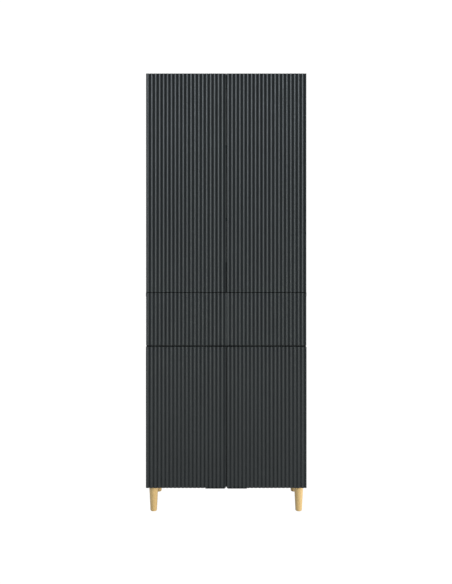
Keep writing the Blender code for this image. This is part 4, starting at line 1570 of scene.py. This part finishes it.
def make_runner_fittings():
    """Balls half-way between the flanges of the two rails, and screws on the inside of each web."""
    angle = np.linspace(-math.pi / 2, math.pi / 2, 9)
    ball = turned(BALL_RADIUS * np.stack([np.cos(angle), np.sin(angle)], axis=1), 14)
    balls, panel_screws, box_screws = [], [], []
    for side, sign in SIDES:
        low, high, web, lip = rail_edges(f"runner_rail_{side}", sign)
        low_in, high_in, web_in, lip_in = rail_edges(f"drawer_rail_{side}", -sign)
        middle = (low[2] + high[2]) / 2
        gap = ((high[2] - low[2]) / 2 - SHEET + (high_in[2] - low_in[2]) / 2) / 2
        for y in BALL_PLACES_Y:
            balls += [(((lip_in + lip) / 2, y, z), (1, 1, 1)) for z in (middle - gap, middle + gap)]
        for y in RAIL_SCREWS_Y:
            panel_screws.append(((web - sign * SHEET, y, middle), (-sign, 1, 1)))
            box_screws.append(((web_in + sign * SHEET, y + BOX_SCREW_SHIFT, middle), (sign, 1, 1)))
    head = screw_head(0.0036, 0.0012)
    scattered("runner_balls", ball, balls, SCREW_ZINC, "carcass")
    scattered("runner_screws_on_panels", head, panel_screws, SCREW_ZINC, "carcass", ALONG_X)
    scattered("runner_screws_on_box", head, box_screws, SCREW_ZINC, "drawer", ALONG_X)


make_runner_fittings()


# %% [markdown]
# ## The studio
# The cupboard stands on a pale floor that runs into a white room, so only the piece itself shows. The
# floor still bounces light upwards on to the legs and the underside.

# %% The floor
PAPER = 1.05  # just past white, so that the floor and the room meet without a line
MIRRORED = 0.36  # how much of that white shows in reflections
FLOOR_HALF = 9.0


def white_to_the_camera(tree, output, shader_socket, strength, mirrored):
    """Shows plain white to the camera, and partly to reflections, while the given shader lights the rest."""
    glow = node(tree, "ShaderNodeEmission", {"Color": (1.0, 1.0, 1.0, 1.0), "Strength": strength})
    path = node(tree, "ShaderNodeLightPath").outputs
    in_reflections = maths(tree, "MULTIPLY", path["Is Glossy Ray"], mirrored)
    seen = maths(tree, "MAXIMUM", path["Is Camera Ray"], in_reflections)
    mix = node(tree, "ShaderNodeMixShader", {0: seen, 1: shader_socket, 2: glow.outputs["Emission"]})
    tree.links.new(mix.outputs["Shader"], output.inputs["Surface"])


def make_floor():
    """A flat square that the piece stands on, well wider than the view."""
    half = FLOOR_HALF
    corners = [(-half, -half, 0.0), (half, -half, 0.0), (half, half, 0.0), (-half, half, 0.0)]
    mesh = bpy.data.meshes.new("studio_floor")
    mesh.from_pydata(corners, [], [(0, 1, 2, 3)])
    floor = linked("studio_floor", mesh)
    paper = bpy.data.materials.new("white_paper")
    paper.use_nodes = True
    tree = paper.node_tree
    matt = tree.nodes["Principled BSDF"]
    matt.inputs["Base Color"].default_value = (0.80, 0.80, 0.79, 1.0)
    matt.inputs["Roughness"].default_value = 0.9
    white_to_the_camera(tree, tree.nodes["Material Output"], matt.outputs["BSDF"], PAPER, MIRRORED)
    mesh.materials.append(paper)


make_floor()
print("floor:", 2 * FLOOR_HALF, "m square")


# %% [markdown]
# ## The room
# The room is the world's light. The camera sees it as the same white as the floor, but it shines only
# faintly on the piece, because the softboxes do the lighting.

# %% The room
ROOM_GLOW = 0.07


def make_room():
    """A dim white for lighting, and a bright one for what the camera sees behind the piece."""
    world = bpy.data.worlds.new("white_room")
    world.use_nodes = True
    tree = world.node_tree
    tree.nodes.clear()
    output = tree.nodes.new("ShaderNodeOutputWorld")
    dim = node(tree, "ShaderNodeBackground", {"Color": (1.0, 1.0, 1.0, 1.0), "Strength": ROOM_GLOW})
    bright = node(tree, "ShaderNodeBackground", {"Color": (1.0, 1.0, 1.0, 1.0), "Strength": PAPER})
    seen = node(tree, "ShaderNodeLightPath").outputs["Is Camera Ray"]
    mix = node(tree, "ShaderNodeMixShader", {0: seen, 1: dim.outputs[0], 2: bright.outputs[0]})
    tree.links.new(mix.outputs["Shader"], output.inputs["Surface"])
    bpy.context.scene.world = world


make_room()
print("room: glow", ROOM_GLOW)


# %% [markdown]
# ## Lamps
# A softbox is a rectangle of light. A photographer keeps one lamp off part of a set with a black flag, and
# Blender's light linking does the same: it names the pieces that a lamp reaches and the ones that shade it.

# %% Softboxes and flags
def softbox(name, centre, towards, width, height, power, colour):
    """A rectangular lamp facing a point, hidden from the camera."""
    lamp = bpy.data.lights.new(name, "AREA")
    lamp.color = colour
    lamp.shape = "RECTANGLE"
    lamp.size = width
    lamp.size_y = height
    lamp.energy = power
    holder = linked(name, lamp)
    holder.location = centre
    direction = np.array(towards, float) - np.array(centre, float)
    across, depth, rise = direction
    level = math.hypot(across, depth)
    holder.rotation_euler = (math.pi / 2 + math.atan2(rise, level), 0.0, math.atan2(-across, depth))
    holder.visible_camera = False
    return holder


def flagged(holder, lit, shading):
    """Lets a lamp reach only the lit pieces, with only the shading pieces casting shadows from it."""
    for purpose, names in (("receiver", lit), ("blocker", shading)):
        chosen = bpy.data.collections.new(f"{holder.name}_{purpose}s")
        for name in names:
            chosen.objects.link(bpy.data.objects[name])
        setattr(holder.light_linking, f"{purpose}_collection", chosen)


print("lamps are set with softbox() and flagged()")


# %% [markdown]
# ## Light
# One large softbox high in front gives every reed a long upright highlight down its crest, brighter towards
# the top. The sides, the back and the top have softboxes of their own behind the plane of the fronts. Two
# small lamps are flagged: one reaches only the legs, from the right, and a faint one only the inside of the
# backs, which is what glimmers through the closing gap between the tall doors.

# %% Eight lamps
COOL = (0.92, 1.0, 1.07)
NEUTRAL = (0.96, 1.0, 0.98)
GREEN_WHITE = (0.94, 1.0, 0.94)
WARM = (1.0, 0.98, 0.94)
LAMPS = (  # name, centre, the point it faces, width, height, power, colour
    ("key_softbox", (0.0, -7.0, 3.45), (0.0, 0.0, 1.5), 3.4, 2.4, 305.0, COOL),
    ("low_front_softbox", (0.0, -6.6, 0.50), (0.0, 0.0, 0.45), 3.4, 1.0, 75.0, GREEN_WHITE),
    ("right_softbox", (4.2, 0.85, 1.5), (0.0, 0.1, 1.1), 1.8, 1.8, 80.0, NEUTRAL),
    ("left_softbox", (-4.2, 1.10, 1.6), (0.0, 0.3, 1.1), 1.8, 2.2, 30.0, COOL),
    ("back_softbox", (1.2, 5.5, 2.6), (0.0, 0.2, 1.2), 4.0, 3.0, 190.0, NEUTRAL),
    ("overhead_softbox", (0.0, 1.60, 4.6), (0.0, 0.2, 2.2), 2.4, 1.6, 40.0, NEUTRAL),
    ("leg_softbox", (7.0, -2.9, 0.85), (0.0, 0.0, 0.06), 1.8, 1.2, 430.0, WARM),
    ("inside_softbox", (0.0, -3.5, 1.4), (0.0, 0.0, 1.2), 1.5, 1.5, 8.0, NEUTRAL),
)
FLAGS = {  # the only pieces that a lamp reaches, and the only ones that shade it
    "leg_softbox": [f"beech_leg_{row}_{side}" for row in ("front", "rear") for side, _ in SIDES],
    "inside_softbox": ["hardboard_upper_back", "hardboard_lower_back"],
}
for row in LAMPS:
    holder = softbox(*row)
    if row[0] in FLAGS:
        flagged(holder, FLAGS[row[0]], FLAGS[row[0]])
print("lamps:", len(LAMPS), "of them flagged:", len(FLAGS))


# %% [markdown]
# ## Camera
# It looks straight and level at the fronts from a little above the middle, with a small downward shift so
# that the cupboard sits in the frame without its uprights leaning.

# %% Camera and colour
CAMERA_HEIGHT = 1.47
CAMERA_DISTANCE = 4.2  # from the crests of the reeds
CAMERA_ASIDE = -0.001
FRAME_HEIGHT = 2.9124  # how tall a slice of the crests' plane fills the view
FRAME_MIDDLE = 1.1082  # the height of that slice's middle


def make_camera():
    """Lens = sensor * distance / frame height, and shift = (frame middle - camera height) / frame height."""
    camera = bpy.data.cameras.new("front_camera")
    camera.sensor_width = 36.0
    camera.lens = camera.sensor_width * CAMERA_DISTANCE / FRAME_HEIGHT
    camera.shift_y = (FRAME_MIDDLE - CAMERA_HEIGHT) / FRAME_HEIGHT
    camera.clip_end = 60.0
    camera.dof.use_dof = False
    holder = linked("front_camera", camera)
    holder.location = (CAMERA_ASIDE, CREST_Y - CAMERA_DISTANCE, CAMERA_HEIGHT)
    holder.rotation_euler = (math.pi / 2, 0.0, 0.0)
    bpy.context.scene.camera = holder
    print("camera: lens", round(camera.lens, 2), "shift", round(camera.shift_y, 4))


make_camera()
bpy.context.scene.view_settings.view_transform = "Standard"
